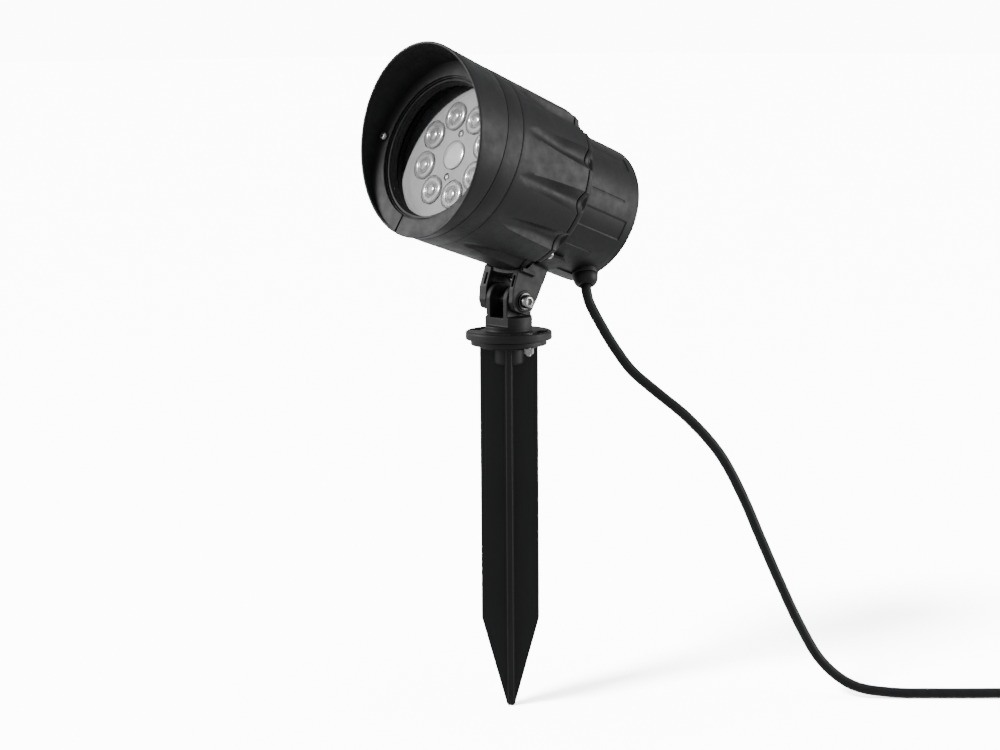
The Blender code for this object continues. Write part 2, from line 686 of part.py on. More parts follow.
def build_light_engine():
    plate = rod("optic_plate", PLATE_RADIUS, PLATE_REAR, PLATE_FRONT, GREY_PLATE, 48)
    board_front = BOARD_REAR + BOARD_THICKNESS
    board = rod("led_board", BOARD_RADIUS, BOARD_REAR, board_front, WHITE_BOARD, 40)
    pieces = [plate, board]
    led_low = board_front - 0.0002
    for name, spot in lens_spots():
        low = (spot.x - LED_HALF, spot.y - LED_HALF, led_low)
        high = (spot.x + LED_HALF, spot.y + LED_HALF, led_low + LED_HEIGHT)
        add(board, block("led", low, high, WHITE_BOARD))
        lens = turned(f"optic_{name}", [
            (0, LENS_REAR), (LENS_RADIUS, LENS_REAR), (LENS_RADIUS, LENS_REAR + 0.0008),
            (0.8 * LENS_RADIUS, LENS_FRONT - 0.0004), (0.4 * LENS_RADIUS, LENS_FRONT),
            (0, LENS_FRONT),
        ], (*CLEAR, 0.0, 0.5), 16)
        pieces.append(move(lens, Matrix.Translation(spot)))
    for name, angle in (("top", HEAD_TURN), ("bottom", HEAD_TURN + math.pi)):
        spot = around(angle, PLATE_SCREW_PITCH, 0)
        wide = PLATE_SCREW_RADIUS + GAP
        hole = rod("hole", wide, PLATE_REAR - 0.001, PLATE_FRONT + 0.001, sides=12)
        cut(plate, move(hole, Matrix.Translation(spot)))
        bolt = screw(
            f"plate_screw_{name}", PLATE_SCREW_HEAD_RADIUS, PLATE_SCREW_HEAD_HEIGHT,
            PLATE_SCREW_RADIUS, PLATE_SCREW_LENGTH, sides=12,
        )
        pieces.append(move(bolt, Matrix.Translation(spot + Vector((0, 0, PLATE_FRONT + GAP)))))
    driver = block(
        "led_driver", (-DRIVER_HALF_WIDTH, -DRIVER_HALF_HEIGHT, DRIVER_REAR),
        (DRIVER_HALF_WIDTH, DRIVER_HALF_HEIGHT, DRIVER_FRONT), BLACK_PLASTIC,
    )
    pieces.append(driver)
    for name, x, colour in (("lead_red", LEAD_X, 0.35), ("lead_black", -LEAD_X, 0.02)):
        look = ((colour, 0.01, 0.01), 0.5)
        lead = rod(name, LEAD_RADIUS, DRIVER_FRONT + GAP, BOARD_REAR - GAP, look, 10)
        pieces.append(move(lead, Matrix.Translation((x, 0, 0))))
    return pieces


def build_yoke():
    """Two ears and a saddle under the rear cover, and the bolt they turn on."""
    rear = PIVOT_ALONG - EAR_HALF_WIDTH
    front = PIVOT_ALONG + EAR_HALF_WIDTH
    saddle_middle = -(SADDLE_INNER + SADDLE_OUTER) / 2
    lower_end = EAR_END + [(up, -along) for up, along in reversed(EAR_END)]
    ear_outline = [(PIVOT_UP + up, PIVOT_ALONG + along) for up, along in lower_end]
    ear_outline += [
        (EAR_TOP_FRONT, front), (EAR_TOP_FRONT, SADDLE_FRONT),
        (saddle_middle + 0.0034, SADDLE_FRONT), (saddle_middle + 0.0034, EAR_TOP_REAR),
    ]
    bracket = arc_block(
        "yoke_bracket", math.pi, SADDLE_HALF_SPAN, SADDLE_INNER, SADDLE_OUTER,
        EAR_TOP_REAR - 0.0002, SADDLE_FRONT + 0.0001, BLACK_PAINT, 14,
    )
    place = Matrix.Translation((0, PIVOT_UP, PIVOT_ALONG)) @ along_x()
    face = EAR_OUTER + EAR_SEAT_HEIGHT
    for side, inner, outer, groove_x in (
        (1, EAR_INNER, EAR_OUTER, GROOVE_X),
        (-1, LEFT_EAR_INNER, LEFT_EAR_OUTER, LEFT_GROOVE_X),
    ):
        low, high = sorted((side * inner, side * outer))
        add(bracket, prism("ear", ear_outline, low, high, BLACK_PAINT, axis="x"))
        groove = block(
            "groove",
            (side * groove_x - GROOVE_HALF_WIDTH, PIVOT_UP + GROOVE_LOW, front - GROOVE_DEPTH),
            (side * groove_x + GROOVE_HALF_WIDTH, PIVOT_UP + GROOVE_HIGH, front + 0.001),
        )
        cut(bracket, groove)
    seat = rod("seat", WASHER_RADIUS + 0.0006, EAR_OUTER - 0.0002, face, BLACK_PAINT, 28)
    add(bracket, move(seat, place))
    pocket = rod("pocket", NUT_POCKET_RADIUS, -LEFT_EAR_OUTER - 0.001, -face, BLACK_PAINT, 28)
    cut(bracket, move(pocket, place))
    web = block(
        "web", (-LEFT_EAR_INNER - 0.0002, WEB_LOW, rear + 0.0012),
        (EAR_INNER + 0.0002, -0.0440, SADDLE_FRONT - 0.0002),
    )
    lip = arc_block(
        "lip", math.pi, LIP_HALF_SPAN, LIP_INNER, LIP_OUTER, SADDLE_FRONT - 0.0010, -0.0006,
    )
    add(bracket, web, lip)
    hollow = rod("hollow", SADDLE_INNER, -0.05, 0.0, BLACK_PAINT, 96)
    cut(bracket, hollow)
    bore = rod("bore", BOLT_HOLE_RADIUS, -0.03, 0.03)
    cut(bracket, move(bore, place))
    pieces = [bracket]
    downward = Matrix.Rotation(math.pi / 2, 4, "X")
    for side, turn in (("r", 1), ("l", -1)):
        frame = Matrix.Translation((turn * YOKE_SCREW_X, WEB_LOW, YOKE_SCREW_ALONG)) @ downward
        hole = rod("hole", YOKE_SCREW_RADIUS + GAP, -0.006, 0.002, sides=12)
        cut(bracket, move(hole, frame))
        bolt = screw(
            f"yoke_screw_{side}", YOKE_SCREW_HEAD_RADIUS, YOKE_SCREW_HEAD_HEIGHT,
            YOKE_SCREW_RADIUS, YOKE_SCREW_LENGTH, sides=12,
        )
        pieces.append(move(bolt, frame @ Matrix.Translation((0, 0, GAP))))
    reach = face + WASHER_THICKNESS + 2 * GAP
    bolt = screw(
        "pivot_bolt", BOLT_HEAD_RADIUS, BOLT_HEAD_HEIGHT, BOLT_RADIUS,
        2 * reach + PIVOT_NUT_HEIGHT + 0.0004, sides=20,
    )
    pieces.append(move(bolt, place @ Matrix.Translation((0, 0, reach))))
    hole = BOLT_RADIUS + 0.0002
    for side, turn in (("r", 1), ("l", -1)):
        low, high = sorted((turn * (face + GAP), turn * (face + GAP + WASHER_THICKNESS)))
        washer = turned(f"pivot_washer_{side}", [
            (hole, low), (WASHER_RADIUS, low), (WASHER_RADIUS, high), (hole, high),
        ], STEEL, 28)
        pieces.append(move(washer, place))
    hole = hole / HEX_FLAT
    nut = turned("pivot_nut", [
        (hole, -reach - PIVOT_NUT_HEIGHT), (PIVOT_NUT_RADIUS, -reach - PIVOT_NUT_HEIGHT),
        (PIVOT_NUT_RADIUS, -reach), (hole, -reach),
    ], STEEL, 6, smooth=False)
    pieces.append(move(nut, place))
    return pieces


def gland_matrix():
    """Local z points straight out of the rear cover where the cord leaves it."""
    aim = around(GLAND_ANGLE, 1, 0)
    turn = Vector((0, 0, 1)).rotation_difference(aim).to_matrix().to_4x4()
    return Matrix.Translation((0, 0, GLAND_ALONG)) @ turn


def build_gland():
    low = GLAND_SEAT + GAP
    nut = turned("gland_nut", [
        (GLAND_BORE, low), (GLAND_RADIUS, low), (GLAND_RADIUS, 0.0472), (0.0068, 0.0490),
        (0.0055, 0.0503), (0.0044, GLAND_TIP), (GLAND_BORE, GLAND_TIP),
    ], BLACK_PLASTIC, 20)
    seal = rod("gland_seal", GLAND_BORE - 2 * GAP, low, GLAND_TIP + 0.0002, RUBBER, 20)
    return [move(nut, gland_matrix()), move(seal, gland_matrix())]


def build_head(axis):
    pieces = build_main_housing() + build_rear_cover() + build_bezel() + build_visor()
    pieces += build_light_engine() + build_yoke() + build_gland()
    for piece in pieces:
        piece.parent = axis
        piece.location = (0, -PIVOT_UP, -PIVOT_ALONG)


# ---- cord --------------------------------------------------------------------------------
def head_point(axis, local):
    """A point of the head's own frame, in the world."""
    bpy.context.view_layer.update()
    return axis.matrix_world @ (local - Vector((0, PIVOT_UP, PIVOT_ALONG)))


def smooth_route(points, spacing):
    """Points at even spacing along a smooth curve through the given ones."""
    padded = [2 * points[0] - points[1], *points, 2 * points[-1] - points[-2]]
    dense = []
    for a, b, c, d in zip(padded, padded[1:], padded[2:], padded[3:]):
        for k in range(20):
            t = k / 20
            dense.append(0.5 * (
                2 * b + (c - a) * t + (2 * a - 5 * b + 4 * c - d) * t * t
                + (3 * b - a - 3 * c + d) * t ** 3
            ))
    dense.append(points[-1])
    even = [dense[0]]
    left = spacing
    for first, second in zip(dense, dense[1:]):
        step = (second - first).length
        while step >= left:
            first = first.lerp(second, left / step)
            even.append(first)
            step = (second - first).length
            left = spacing
        left -= step
    if (even[-1] - dense[-1]).length < spacing / 2:
        even.pop()
    even.append(dense[-1])
    return even


def tube(name, points, radius, look):
    curve = bpy.data.curves.new(name, "CURVE")
    curve.dimensions = "3D"
    curve.bevel_depth = radius
    curve.bevel_resolution = 2
    curve.resolution_u = 1
    curve.render_resolution_u = 0
    curve.use_fill_caps = True
    spline = curve.splines.new("POLY")
    spline.points.add(len(points) - 1)
    for spot, point in zip(spline.points, points):
        spot.co = (*point, 1)
    obj = bpy.data.objects.new(name, curve)
    COLLECTION.objects.link(obj)
    curve.materials.append(finish(name, *look))
    return obj


def build_cord(axis):
    matrix = gland_matrix()
    face = GLAND_TIP + 0.0005
    start = head_point(axis, matrix @ Vector((0, 0, face)))
    second = head_point(axis, matrix @ Vector((0, 0, face + 0.003)))
    route = smooth_route([second] + [Vector(point) for point in CORD_ROUTE], 0.0125)
    tube("power_cord", [start, *route], CORD_RADIUS, RUBBER)
    low = 0.0002
    coil = turned("cord_coil", [
        (COIL_RADIUS - COIL_HALF_WIDTH, low + 0.003), (COIL_RADIUS - COIL_HALF_WIDTH + 0.003, low),
        (COIL_RADIUS + COIL_HALF_WIDTH - 0.003, low), (COIL_RADIUS + COIL_HALF_WIDTH, low + 0.003),
        (COIL_RADIUS + COIL_HALF_WIDTH, COIL_HEIGHT - 0.003),
        (COIL_RADIUS + COIL_HALF_WIDTH - 0.003, COIL_HEIGHT),
        (COIL_RADIUS - COIL_HALF_WIDTH + 0.003, COIL_HEIGHT),
        (COIL_RADIUS - COIL_HALF_WIDTH, COIL_HEIGHT - 0.003),
    ], RUBBER, 40)
    coil.location = (*COIL_CENTRE, 0)
    plug_outline = [
        (0, -0.0045), (0.010, -0.0060), (0.017, -PLUG_HALF_WIDTH), (PLUG_LENGTH, -PLUG_HALF_WIDTH),
        (PLUG_LENGTH, PLUG_HALF_WIDTH), (0.017, PLUG_HALF_WIDTH), (0.010, 0.0060), (0, 0.0045),
    ]
    plug = prism("plug_body", plug_outline, 0.0002, 2 * PLUG_HALF_THICKNESS, RUBBER)
    middle = Matrix.Translation((*COIL_CENTRE, 0)) @ Matrix.Rotation(FLOOR_RUN, 4, "Z")
    onward = Matrix.Rotation(math.pi / 2, 4, "Z")
    plug_at = middle @ Matrix.Translation((COIL_OUTER_TURN, PLUG_REACH, 0)) @ onward
    plug.matrix_world = plug_at
    for side, turn in (("l", 1), ("r", -1)):
        pin = rod(f"plug_pin_{side}", PLUG_PIN_RADIUS, 0, PLUG_PIN_LENGTH, STEEL, 16)
        spot = (PLUG_LENGTH + GAP, turn * PLUG_PIN_SPACING / 2, PLUG_HALF_THICKNESS)
        pin.matrix_world = plug_at @ Matrix.Translation(spot) @ along_x()


def main():
    for obj in list(bpy.data.objects):
        bpy.data.objects.remove(obj)
    swivel_axis = empty("swivel_axis", (0, 0, BASE_BOTTOM))
    tilt_axis = empty(
        "tilt_axis", (0, 0, PIVOT_HEIGHT - BASE_BOTTOM), (math.pi / 2 - TILT, 0, 0), swivel_axis
    )
    build_stake()
    build_clamp_hardware()
    build_swivel_base(swivel_axis)
    build_head(tilt_axis)
    build_cord(tilt_axis)


main()
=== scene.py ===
"""Looks of the garden spotlight: every visible piece and material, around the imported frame.

Metres, +Z up.  Head pieces are drawn in millimetres in the head's own frame: x is the
bolt's direction, y the head's up, z forward out of the lens, zero at the housing's rear rim.
"""

import math

import bmesh
import bpy
from mathutils import Matrix, Vector


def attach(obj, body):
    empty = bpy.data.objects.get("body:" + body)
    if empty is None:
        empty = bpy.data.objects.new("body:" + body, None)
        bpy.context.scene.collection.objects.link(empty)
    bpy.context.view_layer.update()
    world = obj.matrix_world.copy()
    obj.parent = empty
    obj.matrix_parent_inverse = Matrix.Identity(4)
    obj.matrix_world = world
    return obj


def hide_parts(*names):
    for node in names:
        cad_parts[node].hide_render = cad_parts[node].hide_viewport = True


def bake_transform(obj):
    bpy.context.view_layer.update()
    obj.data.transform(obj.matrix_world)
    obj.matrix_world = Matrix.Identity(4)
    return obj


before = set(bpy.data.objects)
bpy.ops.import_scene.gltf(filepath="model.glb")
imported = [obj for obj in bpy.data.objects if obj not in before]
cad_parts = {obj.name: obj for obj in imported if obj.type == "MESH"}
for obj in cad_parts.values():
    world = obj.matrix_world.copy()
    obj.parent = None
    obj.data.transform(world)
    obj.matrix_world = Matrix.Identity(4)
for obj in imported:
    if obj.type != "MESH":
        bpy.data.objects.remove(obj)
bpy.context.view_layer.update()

MM = 0.001
COLLECTION = bpy.context.scene.collection

# ---- the head's own frame ----
TILT = math.radians(20.2)
PIVOT = Vector((0, 0, 0.2478))
PIVOT_UP, PIVOT_ALONG = -67.2, -9.7
HEAD_TURN = math.radians(6)
head_up = Vector((0, math.sin(TILT), math.cos(TILT)))
head_forward = Vector((0, -math.cos(TILT), math.sin(TILT)))
head_origin = PIVOT - MM * (PIVOT_UP * head_up + PIVOT_ALONG * head_forward)
HEAD = Matrix.Translation(head_origin) @ Matrix((
    (1, 0, 0, 0), (0, head_up.y, head_forward.y, 0), (0, head_up.z, head_forward.z, 0),
    (0, 0, 0, 1),
)) @ Matrix.Scale(MM, 4)
WORLD_MM = Matrix.Scale(MM, 4)


# ---- camera ----
CAMERA_AIM = Vector((0, 0, 0.200))
CAMERA_DISTANCE = 1.4065


def make_camera():
    azimuth, pitch, roll = (math.radians(degrees) for degrees in (47.72, 8.29, -0.40))
    back = Vector((
        math.sin(azimuth) * math.cos(pitch), -math.cos(azimuth) * math.cos(pitch),
        math.sin(pitch),
    ))
    level = Vector((0, 0, 1)).cross(back).normalized()
    upright = back.cross(level)
    right = math.cos(roll) * level + math.sin(roll) * upright
    up = math.cos(roll) * upright - math.sin(roll) * level
    place = CAMERA_AIM + CAMERA_DISTANCE * back - 0.00539 * right + 0.00259 * up
    data = bpy.data.cameras.new("camera")
    data.lens = 85
    data.sensor_width = 36
    data.clip_start, data.clip_end = 0.01, 100
    camera = bpy.data.objects.new("camera", data)
    COLLECTION.objects.link(camera)
    camera.matrix_world = Matrix.Translation(place) @ Matrix(
        (right, up, back)
    ).transposed().to_4x4()
    bpy.context.scene.camera = camera
    return right, back


# ---- materials ----
class Look:
    """A Principled material with a few procedural layers in the object's own metres."""

    def __init__(self, name, roughness, metallic=0.0, **sockets):
        self.material = bpy.data.materials.new(name)
        self.material.use_nodes = True
        self.nodes = self.material.node_tree.nodes
        self.links = self.material.node_tree.links
        self.shader = self.nodes["Principled BSDF"]
        self.shader.inputs["Metallic"].default_value = metallic
        self.shader.inputs["Roughness"].default_value = roughness
        for socket, value in sockets.items():
            self.shader.inputs[socket.replace("_", " ")].default_value = value
        self.coordinates = self.nodes.new("ShaderNodeTexCoord").outputs["Object"]
        self.bump = None

    def noise(self, scale, detail=3.0, stretch=(1, 1, 1), rough=0.6):
        mapping = self.nodes.new("ShaderNodeMapping")
        mapping.inputs["Scale"].default_value = stretch
        self.links.new(self.coordinates, mapping.inputs["Vector"])
        node = self.nodes.new("ShaderNodeTexNoise")
        node.inputs["Scale"].default_value = scale
        node.inputs["Detail"].default_value = detail
        node.inputs["Roughness"].default_value = rough
        self.links.new(mapping.outputs["Vector"], node.inputs["Vector"])
        return node.outputs["Fac"]

    def cells(self, scale):
        node = self.nodes.new("ShaderNodeTexVoronoi")
        node.inputs["Scale"].default_value = scale
        self.links.new(self.coordinates, node.inputs["Vector"])
        return node.outputs["Distance"]

    def ramp(self, value, low, high, first, second):
        """Turn a value into a colour or number between two stops."""
        node = self.nodes.new("ShaderNodeValToRGB")
        for element, spot, colour in zip(node.color_ramp.elements, (low, high), (first, second)):
            element.position = spot
            if not hasattr(colour, "__len__"):
                colour = (colour, colour, colour)
            element.color = (*colour, 1)
        self.links.new(value, node.inputs["Fac"])
        return node.outputs["Color"]

    def colour(self, value):
        self.links.new(value, self.shader.inputs["Base Color"])
        return self

    def roughness(self, value):
        self.links.new(value, self.shader.inputs["Roughness"])
        return self

    def raise_by(self, height, strength, distance):
        node = self.nodes.new("ShaderNodeBump")
        node.inputs["Strength"].default_value = strength
        node.inputs["Distance"].default_value = distance
        self.links.new(height, node.inputs["Height"])
        if self.bump:
            self.links.new(self.bump, node.inputs["Normal"])
        self.bump = node.outputs["Normal"]
        self.links.new(self.bump, self.shader.inputs["Normal"])
        return self


def powder_coat(name, dark, light, low=0.46, high=0.60, grain=1.0):
    """Fine-textured black coat: tiny grain, soft mottling, a little unevenness."""
    look = Look(name, 0.5)
    mottle = look.noise(60, 4)
    look.colour(look.ramp(mottle, 0.3, 0.75, dark, light))
    look.roughness(look.ramp(look.noise(140, 3), 0.3, 0.7, low, high))
    look.raise_by(look.noise(2600, 2), 0.30 * grain, 0.00012)
    look.raise_by(look.noise(420, 3), 0.10 * grain, 0.0004)
    return look.material


def moulded_plastic(name, dark, light, rough=(0.42, 0.58), grain=1.0):
    look = Look(name, 0.5)
    look.colour(look.ramp(look.noise(45, 5, (1, 1, 0.25)), 0.3, 0.75, dark, light))
    look.roughness(look.ramp(look.noise(90, 4, (1, 1, 0.3)), 0.3, 0.7, *rough))
    look.raise_by(look.cells(1500), 0.16 * grain, 0.0001)
    look.raise_by(look.noise(260, 3), 0.08 * grain, 0.0005)
    return look.material


def soft_rubber(name, dark, light):
    look = Look(name, 0.7)
    look.colour(look.ramp(look.noise(70, 4), 0.3, 0.75, dark, light))
    look.roughness(look.ramp(look.noise(200, 3), 0.3, 0.7, 0.5, 0.66))
    look.raise_by(look.noise(900, 3), 0.12, 0.0002)
    return look.material


def bright_steel(name, tint=(0.60, 0.59, 0.58)):
    look = Look(name, 0.3, metallic=1.0)
    shade = tuple(0.72 * value for value in tint)
    look.colour(look.ramp(look.noise(160, 4), 0.25, 0.7, shade, tint))
    look.roughness(look.ramp(look.noise(400, 4, (1, 1, 6)), 0.3, 0.7, 0.16, 0.34))
    look.raise_by(look.noise(2200, 3, (1, 1, 8)), 0.08, 0.0001)
    return look.material


def satin_plate(name):
    look = Look(name, 0.45, metallic=0.1)
    look.colour(look.ramp(look.noise(80, 4), 0.3, 0.75, (0.055, 0.055, 0.057),
                          (0.068, 0.068, 0.070)))
    look.roughness(look.ramp(look.noise(220, 3), 0.3, 0.7, 0.42, 0.55))
    look.raise_by(look.noise(1800, 2), 0.10, 0.0001)
    return look.material


def clear_acrylic(name, low=0.065, high=0.12, alpha=0.9):
    look = Look(name, 0.05, Alpha=alpha, IOR=1.49, Specular_IOR_Level=0.9)
    look.colour(look.ramp(look.noise(420, 3), 0.3, 0.7, low, high))
    look.roughness(look.ramp(look.noise(500, 2), 0.3, 0.7, 0.12, 0.20))
    look.raise_by(look.noise(700, 2), 0.10, 0.0001)
    return look.material


def lens_glass(name):
    look = Look(name, 0.03, Alpha=0.10, IOR=1.5, Specular_IOR_Level=1.0)
    look.colour(look.ramp(look.noise(90, 2), 0.3, 0.7, (0.010, 0.011, 0.012),
                          (0.022, 0.023, 0.024)))
    look.roughness(look.ramp(look.noise(120, 3), 0.3, 0.7, 0.015, 0.05))
    return look.material


def plain_detail(name, first, second, rough=(0.4, 0.55), scale=150):
    look = Look(name, 0.5)
    look.colour(look.ramp(look.noise(scale, 4), 0.3, 0.7, first, second))
    look.roughness(look.ramp(look.noise(2 * scale, 3), 0.3, 0.7, *rough))
    look.raise_by(look.noise(5 * scale, 2), 0.1, 0.0001)
    return look.material


COAT = powder_coat("coat", (0.010, 0.010, 0.0105), (0.017, 0.017, 0.0175))
COVER_COAT = powder_coat("cover_coat", (0.009, 0.009, 0.0095), (0.015, 0.015, 0.0155))
CAST_COAT = powder_coat("cast_coat", (0.009, 0.009, 0.0095), (0.016, 0.016, 0.0165), grain=1.3)
STAKE_PLASTIC = moulded_plastic("stake_plastic", (0.006, 0.006, 0.0065), (0.011, 0.011, 0.0115))
GLAND_PLASTIC = moulded_plastic("gland_plastic", (0.007, 0.007, 0.007), (0.012, 0.012, 0.012))
RUBBER = soft_rubber("cord_rubber", (0.008, 0.008, 0.0085), (0.015, 0.015, 0.0155))
SEAL_RUBBER = soft_rubber("seal_rubber", (0.004, 0.004, 0.004), (0.008, 0.008, 0.008))
STEEL = bright_steel("bright_steel")
DARK_STEEL = bright_steel("dark_steel", (0.16, 0.16, 0.16))
PLATE = satin_plate("satin_plate")
ACRYLIC = clear_acrylic("clear_acrylic")
FROSTED = clear_acrylic("frosted_acrylic", 0.15, 0.20, 0.95)
GLASS = lens_glass("lens_glass")
BOARD = plain_detail("board", (0.60, 0.62, 0.60), (0.72, 0.73, 0.71))
DRIVER = moulded_plastic("driver_plastic", (0.012, 0.012, 0.012), (0.02, 0.02, 0.02))
RED_LEAD = plain_detail("red_lead", (0.32, 0.010, 0.010), (0.42, 0.018, 0.014))
BLACK_LEAD = plain_detail("black_lead", (0.010, 0.010, 0.010), (0.018, 0.018, 0.018))


# ---- mesh building ----
def polar(angle, radius, along):
    """A point of a turned piece: angle from the local up towards +x."""
    return Vector((radius * math.sin(angle), radius * math.cos(angle), along))


def mesh_object(name, bm):
    """Turn a finished bmesh into a linked object with its faces pointing out."""
    bmesh.ops.recalc_face_normals(bm, faces=bm.faces)
    mesh = bpy.data.meshes.new(name)
    bm.to_mesh(mesh)
    bm.free()
    obj = bpy.data.objects.new(name, mesh)
    COLLECTION.objects.link(obj)
    return obj


def dress(obj, material, matrix=Matrix(), sharp=None):
    """Place a mesh and give it one material and smooth shading, with sharp edges if asked."""
    mesh = obj.data
    mesh.transform(matrix)
    mesh.materials.clear()
    mesh.materials.append(material)
    mesh.shade_smooth()
    if sharp:
        mesh.set_sharp_from_angle(angle=math.radians(sharp))


def make_piece(name, bm, material, body, matrix=HEAD, nodes=(), sharp=32):
    """Weld a bmesh, turn it into a smooth-shaded piece and put it on its body."""
    bmesh.ops.remove_doubles(bm, verts=bm.verts, dist=1e-5)
    obj = mesh_object(name, bm)
    dress(obj, material, matrix, sharp)
    settle(obj, body, nodes)
    return obj


def settle(obj, body, nodes=()):
    """Ride a piece on its body and hide the frame nodes it stands for."""
    if body:
        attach(obj, body)
    if nodes:
        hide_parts(*([nodes] if isinstance(nodes, str) else nodes))


def skin(bm, rings, closed=True, along=False, caps=False):
    """Join rings of points; a ring of one point is a pole."""
    made = [[bm.verts.new(p) for p in ring] for ring in rings]
    pairs = list(zip(made, made[1:]))
    if along:
        pairs.append((made[-1], made[0]))
    for first, second in pairs:
        count = max(len(first), len(second))
        for k in range(count if closed else count - 1):
            n = (k + 1) % count
            corners = [first[k % len(first)], first[n % len(first)]]
            corners += [second[n % len(second)], second[k % len(second)]]
            unique = []
            for corner in corners:
                if corner not in unique:
                    unique.append(corner)
            if len(unique) > 2:
                bm.faces.new(unique)
    if caps:
        bm.faces.new(made[0])
        bm.faces.new(made[-1])
    return made


def rounded(points, radius=0.5, steps=3, loop=True):
    """Round the corners of an outline; a point may carry its own radius as a third number."""
    made = []
    count = len(points)
    for k, point in enumerate(points):
        here = Vector(point[:2])
        size = point[2] if len(point) > 2 else radius
        if size <= 0 or (not loop and k in (0, count - 1)):
            made.append((here.x, here.y))
            continue
        before = Vector(points[k - 1][:2]) - here
        after = Vector(points[(k + 1) % count][:2]) - here
        if before.length < 1e-6 or after.length < 1e-6:
            made.append((here.x, here.y))
            continue
        turn = before.angle(after)
        if turn > math.radians(176):
            made.append((here.x, here.y))
            continue
        cut = size / math.tan(turn / 2)
        cut = min(cut, 0.48 * before.length, 0.48 * after.length)
        first = here + before.normalized() * cut
        last = here + after.normalized() * cut
        for j in range(steps + 1):
            t = j / steps
            spot = (1 - t) ** 2 * first + 2 * t * (1 - t) * here + t * t * last
            made.append((spot.x, spot.y))
    return made


def turned(bm, outline, sides=72, matrix=Matrix(), closed=True):
    """Turn an outline of (radius, along).  A radius may be a function of the angle."""
    rings = []
    for radius, along in outline:
        if radius == 0:
            rings.append([matrix @ Vector((0, 0, along))])
            continue
        ring = []
        for k in range(sides):
            angle = math.tau * k / sides
            size = radius(angle) if callable(radius) else radius
            ring.append(matrix @ polar(angle, size, along))
        rings.append(ring)
    skin(bm, rings, along=closed and outline[0][0] != 0)
    return bm


def extrude(bm, outline, low, high, matrix=Matrix(), edge=0.4, steps=2):
    """A slab along local z with rounded rims, from a closed outline."""
    rings = []
    turns = [math.pi / 2 * j / steps for j in range(steps + 1)]
    bottom = [(low + edge * (1 - math.cos(turn)), edge * (1 - math.sin(turn)))
              for turn in turns]
    top = [(high + low - level, inset) for level, inset in reversed(bottom)]
    for level, inset in bottom + top:
        ring = []
        for k, point in enumerate(outline):
            spot = Vector(point)
            if inset:
                before = (spot - Vector(outline[k - 1])).normalized()
                after = (Vector(outline[(k + 1) % len(outline)]) - spot).normalized()
                normal = Vector((before.y + after.y, -before.x - after.x))
                if normal.length > 1e-9:
                    spot = spot - normal.normalized() * inset * area_sign(outline)
            ring.append(matrix @ Vector((spot.x, spot.y, level)))
        rings.append(ring)
    skin(bm, rings, caps=True)
    return bm


def area_sign(outline):
    """1 for an outline that runs anticlockwise, -1 for a clockwise one."""
    total = sum(
        a[0] * b[1] - b[0] * a[1] for a, b in zip(outline, outline[1:] + outline[:1])
    )
    return 1 if total > 0 else -1


def solid(build, *arguments, **words):
    """One loose tool solid for the Boolean steps."""
    return mesh_object("tool", build(bmesh.new(), *arguments, **words))


def apply_modifiers(obj):
    graph = bpy.context.evaluated_depsgraph_get()
    result = bpy.data.meshes.new_from_object(obj.evaluated_get(graph))
    obj.modifiers.clear()
    obj.data = result
    return obj


def carve(body, others, operation):
    """Join or cut a body by tool solids, one after another, and remove the tools."""
    for other in others:
        modifier = body.modifiers.new("step", "BOOLEAN")
        modifier.object, modifier.operation, modifier.solver = other, operation, "EXACT"
        apply_modifiers(body)
        bpy.data.objects.remove(other)
    return body


def cast(name, body, material, rides, matrix, nodes, voxel, relax=4):
    """Turn a machined-looking union into one casting with softly rounded edges."""
    modifier = body.modifiers.new("skin", "REMESH")
    modifier.mode, modifier.voxel_size = "VOXEL", voxel
    smooth = body.modifiers.new("soften", "SMOOTH")
    smooth.factor, smooth.iterations = 0.5, relax
    apply_modifiers(body)
    body.name = body.data.name = name
    dress(body, material, matrix)
    settle(body, rides, nodes)


# ---- screws ----
def screw_outline(head, height, shank, length, drive="hex"):
    """A screw's profile: head and shank radii, with a hexagon or cross recess in the head."""
    socket = 0.50 * head
    lobes = 6 if drive == "hex" else 4

    def recess(angle):
        turn = (angle + math.pi / lobes) % (math.tau / lobes) - math.pi / lobes
        if drive == "hex":
            return socket / math.cos(turn)
        return socket * (0.34 + 0.66 * math.exp(-(turn / 0.22) ** 2))

    edge = 0.12 * head
    return [
        (0, -length), (shank * 0.8, -length), (shank, -length + 0.3), (shank, -0.1),
        (head - edge, 0), (head, edge), (head, 0.42 * height), (0.97 * head, 0.60 * height),
        (0.88 * head, 0.80 * height), (0.76 * head, 0.93 * height), (0.64 * head, height),
        (lambda a: recess(a) * 1.06, height), (recess, height - 0.08),
        (recess, 0.40 * height), (0, 0.30 * height),
    ]


def make_screw(name, spot, aim, head, height, shank, length, body, drive="hex", spin=0.0,
               nodes=None, space=HEAD):
    turn = Vector((0, 0, 1)).rotation_difference(aim).to_matrix().to_4x4()
    place = Matrix.Translation(spot) @ turn @ Matrix.Rotation(spin, 4, "Z")
    bm = turned(bmesh.new(), screw_outline(head, height, shank, length, drive), 48, place)
    return make_piece(f"{name}_fine", bm, STEEL, body, space, nodes or name, 28)


def hexagon(radius, chamfer):
    """A turned radius that follows a hexagon, its corners cut back by the chamfer."""
    def size(angle):
        turn = (angle + math.pi / 6) % (math.pi / 3) - math.pi / 6
        return min(radius * math.cos(math.pi / 6) / math.cos(turn), radius - chamfer)
    return size


right_axis, back_axis = make_camera()

# ---- main housing ----
FLUTES = 12
FLUTE_START = math.radians(8.5)
FLUTE_HALF = math.radians(7.5)
FLUTE_DEPTH, FLUTE_LENGTH = 4.2, 52.0
HOUSING_LENGTH = 57.0
HOUSING_REAR_RADIUS, HOUSING_TAPER = 51.4, 1.6


